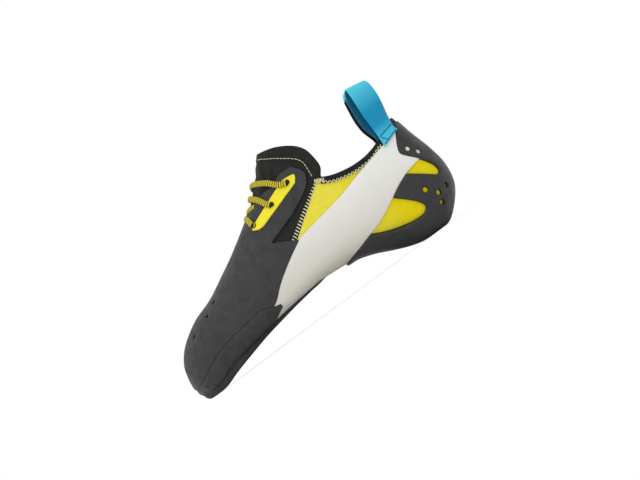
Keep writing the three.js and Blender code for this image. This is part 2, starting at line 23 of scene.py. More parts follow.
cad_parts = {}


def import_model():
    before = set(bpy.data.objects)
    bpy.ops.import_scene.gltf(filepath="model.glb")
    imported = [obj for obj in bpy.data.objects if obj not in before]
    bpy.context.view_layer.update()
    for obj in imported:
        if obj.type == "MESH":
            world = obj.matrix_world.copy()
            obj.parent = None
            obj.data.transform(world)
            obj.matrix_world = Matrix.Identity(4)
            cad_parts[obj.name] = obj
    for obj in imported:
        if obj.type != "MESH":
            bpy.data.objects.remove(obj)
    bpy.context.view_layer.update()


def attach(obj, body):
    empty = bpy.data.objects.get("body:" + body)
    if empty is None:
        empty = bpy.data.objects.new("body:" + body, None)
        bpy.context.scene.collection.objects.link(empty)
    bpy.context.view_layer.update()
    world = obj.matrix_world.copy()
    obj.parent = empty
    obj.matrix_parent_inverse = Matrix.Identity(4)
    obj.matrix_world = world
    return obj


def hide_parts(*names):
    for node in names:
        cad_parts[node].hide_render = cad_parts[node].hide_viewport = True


log = logging.getLogger("climbing_shoe")

Array = NDArray[np.float64]
Field = Callable[["Mesh"], Array]
Tree = bpy.types.NodeTree
Socket = bpy.types.NodeSocket

MM = 0.001

# Sizes shared with the CAD model
LENGTH = 240.0
INSTEP_HEIGHT = 120.5
BALL_WIDTH = 82.0
HEEL_REST = 0.8644  # the origin's share of the length, from the toe
WALL = 2.0
GAP = 0.3
OUTSOLE = 4.0
PATCH_RUBBER = 1.4
RAND_RUBBER = 1.9
HEEL_RUBBER = 1.8
HEEL_PRESS = 1.2
BAND = 1.1
INSOLE = 1.6
SOLE_EDGE = 2.0
SOLE_MARGIN = 11.0
STRIP = 0.8
EYELET_RADIUS = 2.0
BINDING = 0.8
BINDING_WIDTH = 2.8
BINDING_OUTER = 4.5  # the tape's outer leg, from the collar's edge down to its own
LACE_RADIUS = 2.2
WEBBING = 1.3
LOOP_LINING = 1.0
SEAM = 0.04  # left on each side where pieces are glued edge to edge
HOLE_RADIUS = 1.6  # perforations in the toe patch
HEEL_HOLE_RADIUS = 2.0  # and in the heel cup and its tab
TUCK = 2.4  # how far the rubber at the sides runs down inside the outsole's edge
LACE_HEIGHT = 1.1  # half the flat elastic's thickness
BRAID_REPEAT = 1.7  # along the lace, from one black band to the next
FAR = 50.0  # a distance that is surely outside
GIRTH_LENGTH = 120.0  # the way from the sole's middle to the ridge, for patterns that follow the surface

LAST_LIFT = GAP + OUTSOLE
LAST_HEIGHT = INSTEP_HEIGHT - LAST_LIFT

# Sections of the last, as in the CAD model: X in percent of LENGTH from the toe, Z in percent of
# LAST_HEIGHT over LAST_LIFT, widths in percent of BALL_WIDTH from the ridge, widest in percent of height
SECTION_COLUMNS = (
    "low_x", "low_z", "top_x", "top_z", "ridge", "lateral", "medial", "widest", "low_power", "top_power",
)
SECTIONS = (
    (0.7, 9.8, 0.7, 9.8, 18.3, 0, 0, 50, 2.0, 2.0),
    (1.1, 4.3, 1.2, 15.9, 18.3, 9.0, 9.0, 50, 2.0, 2.0),
    (1.9, 1.0, 2.2, 22.0, 18.3, 18.3, 14.6, 44, 2.4, 2.0),
    (3.6, -0.6, 4.5, 28.4, 17.1, 28.0, 22.6, 38, 3.2, 2.1),
    (7.5, -0.3, 7.5, 33.6, 15.9, 39.6, 28.0, 33, 4.2, 2.2),
    (13.1, 3.7, 12.8, 39.8, 12.2, 48.8, 34.1, 30, 5.0, 2.2),
    (20.6, 7.8, 19.7, 44.6, 8.5, 55.5, 37.8, 28, 5.5, 2.2),
    (28.0, 11.3, 27.1, 52.0, 5.5, 58.5, 39.0, 26, 5.5, 2.1),
    (36.0, 13.5, 34.5, 58.7, 3.0, 55.5, 37.2, 24, 5.0, 2.1),
    (43.1, 14.9, 40.7, 67.6, 1.2, 49.4, 34.8, 22, 4.2, 2.0),
    (49.3, 15.9, 46.1, 77.4, 0.6, 44.5, 32.9, 21, 3.4, 2.0),
    (55.3, 15.2, 51.1, 87.8, 0, 40.2, 32.3, 20, 3.0, 2.0),
    (61.2, 13.9, 56.5, 100.0, 0, 37.8, 32.3, 20, 2.8, 2.0),
    (67.4, 10.7, 62.7, 112.5, 0, 36.6, 32.9, 20, 2.6, 2.0),
    (73.4, 6.2, 70.1, 120.5, 0, 36.0, 34.1, 21, 2.5, 2.0),
    (78.7, 2.6, 78.4, 120.5, 0, 36.0, 34.8, 22, 2.5, 2.0),
    (83.5, 0.1, 85.8, 110.7, 0, 34.8, 34.1, 24, 3.2, 2.0),
    (87.9, -0.6, 91.2, 93.0, 0, 32.9, 32.3, 28, 3.8, 2.0),
    (92.1, 2.1, 94.2, 72.2, 0, 29.3, 28.7, 34, 2.8, 2.0),
    (95.3, 8.0, 96.2, 54.4, 0, 22.6, 22.0, 40, 2.1, 2.0),
    (97.7, 15.9, 98.0, 40.4, 0, 13.4, 13.4, 46, 2.0, 2.0),
    (98.9, 27.5, 98.9, 27.5, 0, 0, 0, 50, 2.0, 2.0),
)
SOLE_STATIONS = (2.0, 10.5)
SOLE_PLAN_END = 10.5

# Outlines in the side view, as in the CAD model: X in percent of LENGTH, Z in percent of INSTEP_HEIGHT.
# Each line is one smooth run, and runs meet at corners.
Run = list[tuple[float, float]]
TOE_CREASE: Run = [
    (0.4, 8.6), (3.9, 11.8), (6.9, 14.7), (12.8, 19.5), (18.8, 21.8), (24.7, 23.3), (29.2, 24.2),
    (31.5, 23.3), (33.2, 21.6),
]
PATCH_REAR: Run = [(35.1, 23.6), (39.6, 31.0), (45.8, 38.8), (48.6, 41.8), (51.2, 44.6)]
HEEL_TAB: Run = [(92.4, 44.5), (90.4, 49.3), (90.4, 51.9), (91.5, 56.6), (93.6, 63.1)]
COLLAR: Run = [
    (67.7, 65.6), (69.8, 63.5), (72.5, 61.9), (75.5, 60.7), (78.4, 60.2), (81.4, 60.4), (84.4, 61.5),
    (87.0, 63.2), (90.0, 65.5), (92.7, 67.8), (94.7, 69.9), (101.9, 73.2),
]
COLLAR_START = (66.6, 67.0)  # where the binding starts, in front of the collar's own line
SEAM_LINE: Run = [(33.4, 71.0), (38.0, 59.0), (42.4, 51.2), (50.2, 44.2)]
OPENING: list[Run] = [SEAM_LINE, [(66.0, 66.7)], COLLAR, [(101.9, 141.6)], [(42.5, 141.6)]]
CUFF_EDGE: Run = [
    (69.1, 72.2), (69.1, 79.3), (68.5, 85.2), (66.9, 90.0), (64.6, 93.8), (62.1, 96.7), (60.0, 98.4),
    (56.7, 100.2), (53.3, 101.6),
]
CUFF_END: list[Run] = [[(30.7, 20.0)], [(66.9, 60.0)], [(67.6, 67.6)], CUFF_EDGE, [(30.7, 103.8)]]
PATCH: list[Run] = [
    [(-5.0, 5.3)], TOE_CREASE, PATCH_REAR, [(43.8, 52.6)],
    [(48.5, 55.5), (54.4, 59.4), (58.8, 63.4), (61.8, 67.0), (63.1, 69.2)],
    [(64.3, 73.8)], [(63.9, 77.3)], [(61.9, 82.1)], [(56.6, 83.0)], [(51.4, 92.0)], [(36.6, 92.0)],
    [(-5.0, 53.1)],
]
RAND: list[Run] = [
    [(-5.0, 5.3)], TOE_CREASE, [(35.4, 20.4)], [(35.7, 19.6)], [(35.5, 18.0)], [(32.9, 15.4)], [(31.2, 12.9)],
    [(31.2, -11.8)], [(-5.0, -11.8)],
]
TENSION_BAND: list[Run] = [
    [(33.2, 21.6)],
    PATCH_REAR,
    [(53.3, 45.6), (57.6, 47.0), (63.6, 48.9), (69.5, 51.0), (75.4, 54.2), (81.1, 57.0), (87.3, 59.8),
     (93.6, 63.1)],
    HEEL_TAB[::-1][1:],
    [(94.2, 40.7)],
    [(91.5, 39.8), (88.2, 38.3), (84.1, 35.1), (80.5, 31.3), (78.1, 28.9), (75.2, 26.0), (72.2, 23.6),
     (68.9, 21.8), (63.3, 18.6), (58.0, 15.9)],
    [(56.2, -11.8)],
    [(20.0, -11.8)],
]
HEEL_CUP: list[Run] = [
    [(58.0, 15.9)],
    [(63.3, 18.6), (68.9, 21.8)],
    [(72.2, 18.3), (75.2, 15.9), (78.1, 14.2), (81.1, 13.0), (84.1, 12.8), (85.8, 13.6), (86.9, 15.9),
     (86.7, 18.3), (85.5, 21.8), (84.1, 24.8), (82.6, 27.7), (80.5, 31.3)],
    [(84.1, 35.1), (88.2, 38.3)],
    [(90.0, 35.7), (93.0, 31.3), (95.3, 27.9), (96.2, 27.1), (97.0, 28.3), (97.1, 30.7), (96.7, 33.6),
     (95.6, 37.2), (94.2, 40.7)],
    HEEL_TAB, [(94.8, 66.7)], [(103.4, 69.2)], [(103.4, -11.8)], [(56.2, -11.8)],
]
EYELET_STRIP: list[Run] = [
    [(41.6, 66.1)], [(43.6, 68.2), (55.0, 77.0), (57.9, 78.8)], [(61.2, 77.9)], [(61.5, 76.4)],
    [(60.1, 72.8)], [(45.2, 63.7)], [(43.4, 63.6)], [(41.8, 65.1)],
]
# Half the gap between the eyestays in percent of BALL_WIDTH, by X in percent of LENGTH
THROAT = (
    (41.4, 0.0), (43.0, 7.0), (45.5, 13.0), (47.4, 16.5), (51.6, 22.5), (53.7, 25.1), (56.9, 26.0),
    (70.0, 27.0),
)
EYELETS = {"front": (43.4, 65.5), "middle": (50.9, 69.8), "rear": (58.4, 75.3), "exit": (47.0, 75.6)}
LATERAL_EYELETS = ("front", "middle", "rear")
MEDIAL_EYELETS = ("front", "middle")
LACES = {
    "lace_front": (("front", 42.8, "front"), ("exit", 44.3, "front")),
    "lace_rear": (("middle", 47.2, "middle"), ("rear", 50.0, "middle")),
}
# Perforations in the side view, by the piece they go through
TOE_HOLES = ((9.7, 34.8), (16.2, 39.7), (20.2, 43.9))
TOE_RIDGE_HOLES = ((6.6, 0.0), (12.2, 0.0))  # X in percent, and Y from the ridge
HEEL_HOLES = ((89.7, 24.0), (92.3, 18.4), (95.1, 19.3), (91.3, 12.8))
TAB_HOLES = ((92.6, 49.4), (94.6, 44.5))

# Pull loops, as in the CAD model
LOOP_EDGES = ((87.6, 99.4), (92.7, 97.4))
LOOP_LEAN = 4.0
LOOP_HEIGHT = 41.0
LOOP_SEAT = 6.2
LOOP_LINE: Run = [
    (3.8, -LOOP_SEAT), (3.8, 1), (3.8, 14), (3.4, 27), (2.2, 36), (-0.4, 40.3), (-3.2, 38), (-5.2, 31),
    (-6.4, 20), (-5.6, 9), (-3.7, 1), (-3.35, -LOOP_SEAT),
]
LOOP_LINING_LINE: Run = [(-4.95, -LOOP_SEAT), (-5.3, 1), (-8.6, 9), (-10.6, 19), (-9.2, 28), (-6.4, 35.5)]


class Side(Enum):
    """The two sides of the shoe, by the sign of Y."""

    LATERAL = -1
    MEDIAL = 1

    @property
    def label(self) -> str:
        """The side's name in a CAD node."""
        return self.name.lower()


def along_x(percent: float | Array) -> float | Array:
    """X in mm for a place in percent of the length from the toe."""
    return (np.asarray(percent) / 100 - HEEL_REST) * LENGTH


def over_floor(percent: float | Array) -> float | Array:
    """Z in mm for a height in percent of the instep height."""
    return np.asarray(percent) / 100 * INSTEP_HEIGHT


def smoothstep(value: Array, low: float, high: float) -> Array:
    """The smooth ramp 3t^2 - 2t^3 from 0 at low to 1 at high."""
    t = np.clip((value - low) / (high - low), 0, 1)
    return t * t * (3 - 2 * t)


def normalise(vectors: Array) -> Array:
    """Each row divided by its length."""
    return vectors / np.maximum(np.linalg.norm(vectors, axis=-1, keepdims=True), 1e-12)


def catmull_weights(t: Array) -> Array:
    """What the four points round a span count at shares t of it: the Catmull-Rom cubics."""
    rise, fall = t + 4 * t**2 - 3 * t**3, 2 - 5 * t**2 + 3 * t**3
    return np.stack([-t + 2 * t**2 - t**3, fall, rise, -(t**2) + t**3]) / 2


def arc_length(line: Array) -> Array:
    """How far along a line each of its points lies."""
    return np.concatenate([[0], np.cumsum(np.linalg.norm(np.diff(line, axis=0), axis=1))])


def along_line(wanted: Array, length: Array, values: Array) -> Array:
    """The columns of values read off at the wanted lengths."""
    return np.stack([np.interp(wanted, length, column) for column in values.T], 1)


def quarter_round(depth: Array, radius: float | Array) -> Array:
    """Height of a quarter circle, 0 at an edge and 1 from one radius inside it: the root of 1 - (1 - d)^2."""
    return np.sqrt(1 - (1 - np.clip(depth / radius, 0, 1)) ** 2)


def catmull(points: Array, per_span: int) -> Array:
    """Points of a uniform Catmull-Rom curve through the given ones, its ends doubled.

    Args:
        points: The points that the curve runs through.
        per_span: Steps from one of them to the next.

    Returns:
        The curve's points.
    """
    padded = np.vstack([points[:1], points, points[-1:]])
    weights = catmull_weights(np.arange(per_span) / per_span)
    spans = np.stack([padded[i : i + len(points) - 1] for i in range(4)])
    curve = np.einsum("kt,ksd->std", weights, spans).reshape(-1, points.shape[1])
    return np.vstack([curve, points[-1:]])


def trace(runs: list[Run], per_span: int = 8) -> Array:
    """A line in mm from runs in percent: each run is a smooth curve from the last run's end.

    Args:
        runs: The runs, of X in percent of LENGTH and Z in percent of INSTEP_HEIGHT.
        per_span: Steps between two points of a smooth run.

    Returns:
        X and Z of the line's points.
    """
    line: list[Array] = []
    last: Array | None = None
    for run in runs:
        ends = np.array([[along_x(x), over_floor(z)] for x, z in run], float)
        if last is not None:
            ends = np.vstack([last, ends])
        last = ends[-1:]
        line.append((catmull(ends, per_span) if len(ends) > 2 else ends)[:-1])
    return np.vstack([*line, last])


def outline_distance(points: Array, line: Array, closed: bool = True) -> Array:
    """Distance from 2D points to a line, and negative inside it where the line is closed.

    A point is inside where a level ray from it crosses the outline an odd number of times.

    Args:
        points: The points.
        line: The line's points.
        closed: Whether the last point is joined to the first.

    Returns:
        One distance for each point.
    """
    start = line if closed else line[:-1]
    end = np.roll(line, -1, 0) if closed else line[1:]
    span = end - start
    length2 = np.maximum((span**2).sum(1), 1e-12)
    result = np.empty(len(points))
    batch = 20000  # points at a time, which keeps the arrays small
    for first in range(0, len(points), batch):
        p = points[first : first + batch, None, :]
        rel = p - start
        t = np.clip((rel * span).sum(2) / length2, 0, 1)
        distance = np.sqrt(((rel - t[..., None] * span) ** 2).sum(2)).min(1)
        if closed:
            crosses = (start[:, 1] > p[..., 1]) != (end[:, 1] > p[..., 1])
            slope = np.where(np.abs(span[:, 1]) < 1e-12, 1e-12, span[:, 1])
            at = start[:, 0] + (p[..., 1] - start[:, 1]) / slope * span[:, 0]
            odd = (crosses & (p[..., 0] < at)).sum(1) % 2 == 1
            distance = np.where(odd, -distance, distance)
        result[first : first + batch] = distance
    return result


@dataclass
class Mesh:
    """Triangles with a value of each named field at every vertex."""

    values: dict[str, Array]
    faces: NDArray[np.int64]

    def split(self, name: str, level: float) -> None:
        """Cuts every triangle that the field crosses at the level, so that an edge lies along it.

        The corner that is alone on its side of the level is cut off, and the rest becomes two triangles.

        Args:
            name: The field's name.
            level: Its value where the mesh is cut.
        """
        above = self.values[name] - level > 0
        corner_above = above[self.faces]
        count = corner_above.sum(1)
        crossed = (count == 1) | (count == 2)
        faces = self.faces[crossed]
        if not len(faces):
            return
        lone_above = count[crossed] == 1
        lone = np.argmax(corner_above[crossed] == lone_above[:, None], axis=1)
        rows = np.arange(len(faces))
        a, b, c = (faces[rows, (lone + k) % 3] for k in range(3))
        total = len(self.values[name])
        pairs = np.concatenate([np.stack([a, b], 1), np.stack([a, c], 1)])
        low, high = pairs.min(1), pairs.max(1)
        keys, index = np.unique(low * total + high, return_inverse=True)
        low, high = keys // total, keys % total
        value = self.values[name]
        t = (level - value[low]) / (value[high] - value[low])
        for key, old in self.values.items():
            weight = t.reshape(-1, *([1] * (old.ndim - 1)))
            self.values[key] = np.concatenate([old, old[low] + (old[high] - old[low]) * weight])
        self.values[name][total:] = level
        ab, ac = total + index[: len(a)], total + index[len(a) :]
        new = np.concatenate([np.stack([a, ab, ac], 1), np.stack([ab, b, c], 1), np.stack([ab, c, ac], 1)])
        self.faces = np.concatenate([self.faces[~crossed], new])

    def keep_inside(self, name: str, level: float = 0.0) -> None:
        """Drops the triangles that lie beyond a level of a field.

        Args:
            name: The field's name.
            level: The greatest value that is kept.
        """
        inside = (self.values[name][self.faces] <= level + 1e-9).all(1)
        self.faces = self.faces[inside]
        self.compact()

    def compact(self) -> None:
        """Drops the vertices that no triangle uses."""
        used, index = np.unique(self.faces, return_inverse=True)
        self.faces = index.reshape(-1, 3)
        self.values = {key: value[used] for key, value in self.values.items()}

    def rim(self) -> NDArray[np.int64]:
        """Finds the edges that only one triangle has.

        Returns:
            Pairs of vertex numbers, in their triangle's direction.
        """
        edges = np.concatenate([self.faces[:, [0, 1]], self.faces[:, [1, 2]], self.faces[:, [2, 0]]])
        total = len(next(iter(self.values.values())))
        keys = edges.min(1) * total + edges.max(1)
        _, first, counts = np.unique(keys, return_index=True, return_counts=True)
        return edges[first[counts == 1]]


class Last:
    """The form that the shoe is built on, as a surface of station and girth."""

    per_station = 12
    side_points = 96
    outline_steps = 400

    def __init__(self) -> None:
        """Works out the grid of points and normals from the table of sections."""
        self.top_station = len(SECTIONS) - 1
        self.stations = np.linspace(0, self.top_station, self.per_station * self.top_station + 1)
        self.girths = np.linspace(-1, 1, 2 * self.side_points + 1)
        self.rows = self.sections(self.stations)
        self.points = self.surface(self.stations, self.girths)
        self.normals = self.surface_normals(self.points)

    def sections(self, stations: Array) -> dict[str, Array]:
        """Section values at the stations, by a Catmull-Rom curve that runs on round both tips.

        Args:
            stations: Places along the table, from 0 at the toe.

        Returns:
            One array for each column of the table.
        """
        table = np.array(SECTIONS, float)
        last = len(table) - 1

        def mirrored(row: Array) -> Array:
            """A section past the tip, where low and top, and lateral and medial, change places.

            Args:
                row: The section as far before the tip.

            Returns:
                Its twin's values.
            """
            twin = row.copy()
            twin[[0, 1, 2, 3]] = row[[2, 3, 0, 1]]
            twin[5], twin[6], twin[7] = -row[6], -row[5], 100 - row[7]
            return twin

        table = np.vstack([mirrored(table[1]), table, mirrored(table[last - 1]), mirrored(table[last - 2])])
        k = np.minimum(np.floor(stations).astype(int), last - 1)
        weights = catmull_weights(stations - k)
        rows = sum(weights[i, :, None] * table[k + i] for i in range(4))
        return dict(zip(SECTION_COLUMNS, rows.T, strict=True))

    def surface(self, stations: Array, girths: Array) -> Array:
        """Points of the last on a grid of stations and girths.

        A section's half is a superellipse arc between its low and its top point, and equal steps of girth
        are equal lengths along it. Girth is 0 at the sole's middle and 1 at the ridge, and below 0 on the
        lateral side.

        Args:
            stations: Places along the table.
            girths: Places round the section, from -1 to 1.

        Returns:
            An array of points in mm, stations by girths by 3.
        """
        row = {name: value[:, None] for name, value in self.sections(stations).items()}
        angle = np.linspace(0, np.pi, self.outline_steps + 1)[None, :]
        level = np.cos(angle)
        power = np.where(level > 0, row["low_power"], row["top_power"])
        run = np.abs(level) ** (2 / power)
        widest = row["widest"] / 100
        rise = np.where(level > 0, widest * (1 - run), widest + (1 - widest) * run)
        reach = np.abs(np.sin(angle)) ** (2 / power)
        x = along_x(row["low_x"] + (row["top_x"] - row["low_x"]) * rise)
        z = LAST_LIFT + (row["low_z"] + (row["top_z"] - row["low_z"]) * rise) / 100 * LAST_HEIGHT
        result = np.empty((len(stations), len(girths), 3))
        for side, name in ((-1, "lateral"), (1, "medial")):
            y = (row["ridge"] + side * row[name] * reach) / 100 * BALL_WIDTH
            half = np.stack([x, np.broadcast_to(y, x.shape), z], 2)
            steps = np.linalg.norm(np.diff(half, axis=1), axis=2)
            length = np.concatenate([np.zeros((len(stations), 1)), np.cumsum(steps, 1)], 1)
            chosen = (girths < 0) if side < 0 else (girths >= 0)
            for i in range(len(stations)):
                share = np.abs(girths[chosen]) * max(length[i, -1], 1e-9)
                result[i, chosen] = along_line(share, length[i], half[i])
        return result

    def surface_normals(self, points: Array) -> Array:
        """Outward normals of a grid that closes round the section, by central differences.

        Args:
            points: The grid's points, stations by girths by 3.

        Returns:
            Unit vectors, shaped as the points.
        """
        around = np.empty_like(points)
        around[:, 1:-1] = points[:, 2:] - points[:, :-2]
        around[:, 0] = points[:, 1] - points[:, -2]
        around[:, -1] = around[:, 0]
        along = np.gradient(points, axis=0)
        normals = normalise(np.cross(around, along))
        normals[0] = (-1, 0, 0)
        normals[-1] = (1, 0, 0)
        return normals

    def mesh(self) -> Mesh:
        """The whole last as triangles.

        Returns:
            A mesh whose fields are its points, its normals and their stations and girths.
        """
        rows, columns = self.points.shape[0], self.points.shape[1] - 1
        index = np.arange(rows * columns).reshape(rows, columns)
        a, b = index[:-1], index[1:]
        c, d = np.roll(b, -1, 1), np.roll(a, -1, 1)
        halves = [np.stack([a, c, b], -1), np.stack([a, d, c], -1)]
        faces = np.concatenate([half.reshape(-1, 3) for half in halves])
        points = self.points[:, :-1].reshape(-1, 3)
        station, girth = np.meshgrid(self.stations, self.girths[:-1], indexing="ij")
        values = {
            "point": points,
            "normal": self.normals[:, :-1].reshape(-1, 3),
            "station": station.ravel(),
            "girth": girth.ravel(),
        }
        corners = points[faces]
        area = np.linalg.norm(np.cross(corners[:, 1] - corners[:, 0], corners[:, 2] - corners[:, 0]), axis=1)
        return Mesh(values, faces[area > 1e-9])

    def place(self, station: float, girth: float) -> tuple[Array, Array]:
        """Reads the surface between the grid's values.

        Args:
            station: The place along the table.
            girth: The place round the section.

        Returns:
            The point there and the outward normal.
        """
        i = np.clip(station * self.per_station, 0, len(self.stations) - 1.001)
        j = np.clip((girth + 1) * self.side_points, 0, len(self.girths) - 1.001)
        i0, j0 = int(i), int(j)
        s, t = i - i0, j - j0

        def blend(grid: Array) -> Array:
            """Reads a grid between four of its values.

            Args:
                grid: The grid.

            Returns:
                The value at the place.
            """
            near = grid[i0, j0] * (1 - t) + grid[i0, j0 + 1] * t
            far = grid[i0 + 1, j0] * (1 - t) + grid[i0 + 1, j0 + 1] * t
            return near * (1 - s) + far * s

        return blend(self.points), normalise(blend(self.normals))

    def over(self, percent_x: float, girth: float, height: float) -> tuple[Array, Array]:
        """A place over the last.

        Args:
            percent_x: Its X in percent of the length.
            girth: Its girth.
            height: Its height over the last's surface.

        Returns:
            The point, and the outward normal under it.
        """
        j = np.clip((girth + 1) * self.side_points, 0, len(self.girths) - 1.001)
        x = self.points[:, int(j), 0] * (1 - j % 1) + self.points[:, int(j) + 1, 0] * (j % 1)
        station = float(np.interp(along_x(percent_x), x, self.stations))
        point, normal = self.place(station, girth)
        return point + normal * height, normal

    def girth_at(self, percent_x: float, percent_z: float, side: Side) -> float:
        """The girth where one side of the last passes through a point of the side view.

        Args:
            percent_x: The point's X in percent of the length.
            percent_z: Its Z in percent of the instep height.
            side: The side of the shoe.

        Returns:
            The girth, with its side's sign.
        """
        low, high = 0.2, 1.0
        halvings = 24
        for _ in range(halvings):
            middle = (low + high) / 2
            if self.over(percent_x, side.value * middle, 0)[0][2] < over_floor(percent_z):
                low = middle
            else:
                high = middle
        return side.value * low

    def bottom_height(self, station: Array, y: Array) -> Array:
        """Z of the last's bottom: the lower superellipse solved for its rise.

        Args:
            station: Places along the table.
            y: Y in mm at each.

        Returns:
            Z in mm at each.
        """
        row = self.sections(station)
        from_ridge = y - row["ridge"] / 100 * BALL_WIDTH
        half = np.where(from_ridge < 0, row["lateral"], row["medial"]) / 100 * BALL_WIDTH
        reach = np.clip(np.abs(from_ridge) / np.maximum(half, 1e-6), 0, 1)
        power = row["low_power"]
        rise = row["widest"] / 100 * (1 - (1 - reach**power) ** (1 / power))
        return LAST_LIFT + (row["low_z"] + (row["top_z"] - row["low_z"]) * rise) / 100 * LAST_HEIGHT


def srgb(code: str) -> tuple[float, float, float, float]:
    """Linear colour of an sRGB hex code.

    Args:
        code: The code, with its leading mark.

    Returns:
        Red, green, blue and an opaque alpha.
    """
    values = np.array([int(code[i : i + 2], 16) / 255 for i in (1, 3, 5)])
    linear = np.where(values <= 0.04045, values / 12.92, ((values + 0.055) / 1.055) ** 2.4)
    return (*linear.tolist(), 1.0)


def node(
    tree: Tree, kind: str, inputs: dict[str | int, object] | None = None, **settings: object
) -> bpy.types.Node:
    """Adds a shader node with its settings and links.

    Args:
        tree: The node tree to add to.
        kind: The node's type.
        inputs: For an input's name or number, its value or the socket that feeds it.
        **settings: Values of the node's own properties.

    Returns:
        The new node.
    """
    made = tree.nodes.new(kind)
    for key, value in settings.items():
        setattr(made, key, value)
    for key, value in (inputs or {}).items():
        if isinstance(value, Socket):
            tree.links.new(value, made.inputs[key])
        else:
            made.inputs[key].default_value = value
    return made


class Pattern(Enum):
    """How a finish's fine relief is drawn."""

    GRAIN = "grain"
    NAP = "nap"
    KNIT = "knit"
    WEBBING = "webbing"
    BRAID = "braid"
    THREAD = "thread"


@dataclass(frozen=True)
class Finish:
    """A material by what it is: colours, gloss, and the real sizes of its patterns in mm."""

    name: str
    slot: str
    colour: str
    shade: str
    roughness: float
    pattern: Pattern
    grain: float
    relief: float
    mottle: float = 14.0
    mottle_share: float = 0.5
    sheen: float = 0.0
    coat: float = 0.0
    ior: float = 1.5
    specular: float = 0.5
    streak: float = 1.0
    drifts: tuple[tuple[int, float, float, str], ...] = ()  # axis, from mm, to mm, colour there
    second: str | None = None

    def build(self) -> bpy.types.Material:
        """The finish as a node material.

        Returns:
            A material with a Principled shader, a mottled colour, and bump of the finish's pattern.
        """
        material = bpy.data.materials.new(self.name)
        material.use_nodes = True
        tree = material.node_tree
        shader = tree.nodes["Principled BSDF"]
        shader.inputs["Roughness"].default_value = self.roughness
        shader.inputs["IOR"].default_value = self.ior
        shader.inputs["Specular IOR Level"].default_value = self.specular
        shader.inputs["Sheen Weight"].default_value = self.sheen
        shader.inputs["Sheen Roughness"].default_value = 0.4
        shader.inputs["Coat Weight"].default_value = self.coat
        shader.inputs["Coat Roughness"].default_value = 0.35
        place = node(tree, "ShaderNodeTexCoord")
        colour, height = self.relief_nodes(tree, place)
        # Colour drifts along an object axis: the tension band's is painted shade, and the pull loop's upper
        # one is a painted highlight
        for axis, start, end, code in self.drifts:
            parts = node(tree, "ShaderNodeSeparateXYZ", {0: place.outputs["Object"]})
            share = self.ramp(tree, parts.outputs[axis], start * MM, end * MM)
            colour = self.mixed(tree, share, colour, srgb(code))
        tree.links.new(colour, shader.inputs["Base Color"])
        bump = node(tree, "ShaderNodeBump", {"Strength": 1.0, "Distance": self.relief * MM, "Height": height})
        tree.links.new(bump.outputs[0], shader.inputs["Normal"])
        tree.links.new(self.handled(tree, place), shader.inputs["Roughness"])
        return material

    def ramp(
        self, tree: Tree, value: Socket, start: float, end: float, low: float = 0.0, high: float = 1.0
    ) -> Socket:
        """A value that goes from low to high while another one goes from start to end.

        Args:
            tree: The material's node tree.
            value: The other value.
            start: Where the ramp starts.
            end: Where it ends.
            low: The value before the start.
            high: The value after the end.

        Returns:
            The socket of the ramp's value.
        """
        limits = {"From Min": start, "From Max": end, "To Min": low, "To Max": high}
        return node(tree, "ShaderNodeMapRange", {**limits, "Value": value}).outputs[0]

    def mixed(self, tree: Tree, share: Socket, first: Socket | tuple, second: tuple) -> Socket:
        """The first colour where the share is 0, and the second where it is 1."""
        colours = {"Factor": share, 6: first, 7: second}
        return node(tree, "ShaderNodeMix", colours, data_type="RGBA").outputs[2]

    def mottled(self, tree: Tree, place: bpy.types.Node) -> Socket:
        """Colour that drifts between the finish's two colours over a few of its mottles.

        Args:
            tree: The material's node tree.
            place: Its texture coordinates.

        Returns:
            The socket of the colour.
        """
        cloud = {"Scale": 1 / (self.mottle * MM), "Detail": 5.0, "Roughness": 0.6}
        noise = node(tree, "ShaderNodeTexNoise", {**cloud, "Vector": place.outputs["Object"]})
        share = self.ramp(tree, noise.outputs["Fac"], 0.3, 0.7, 0.0, self.mottle_share)
        return self.mixed(tree, share, srgb(self.colour), srgb(self.shade))

    def handled(self, tree: Tree, place: bpy.types.Node) -> Socket:
        """Roughness that drifts a little, as handling leaves it.

        Args:
            tree: The material's node tree.
            place: Its texture coordinates.

        Returns:
            The socket of the roughness.
        """
        touch, change = 6.0, 0.08  # mm from one handled spot to the next, and how far the gloss changes
        cloud = {"Scale": 1 / (touch * MM), "Detail": 3.0, "Vector": place.outputs["Object"]}
        noise = node(tree, "ShaderNodeTexNoise", cloud)
        smooth, rough = max(0.0, self.roughness - change), min(1.0, self.roughness + change)
        return self.ramp(tree, noise.outputs["Fac"], 0.35, 0.65, smooth, rough)

    def relief_nodes(self, tree: Tree, place: bpy.types.Node) -> tuple[Socket, Socket]:
        """The colour and the height of the finish's pattern.

        Args:
            tree: The material's node tree.
            place: Its texture coordinates.

        Returns:
            The sockets that give the colour and the relief, from 0 to 1.
        """
        colour = self.mottled(tree, place)
        if self.pattern in (Pattern.GRAIN, Pattern.NAP):
            detail = 2.0 if self.pattern is Pattern.GRAIN else 8.0
            # A streak above 1 draws the grain out along the shoe, as a buffing wheel leaves it
            stretch = {"Scale": (1 / self.streak, 1, 1), "Vector": place.outputs["Object"]}
            stretched = node(tree, "ShaderNodeMapping", stretch).outputs[0]
            grain = {"Scale": 1 / (self.grain * MM), "Detail": detail, "Roughness": 0.65, "Vector": stretched}
            fine = node(tree, "ShaderNodeTexNoise", grain)
            if self.pattern is Pattern.NAP:
                colour = self.darken(tree, colour, fine.outputs["Fac"], 0.3, 0.62, 0.74)
            return colour, fine.outputs["Fac"]
        u, v = node(tree, "ShaderNodeSeparateXYZ", {0: place.outputs["UV"]}).outputs[:2]
        turns = 2 * math.pi / self.grain
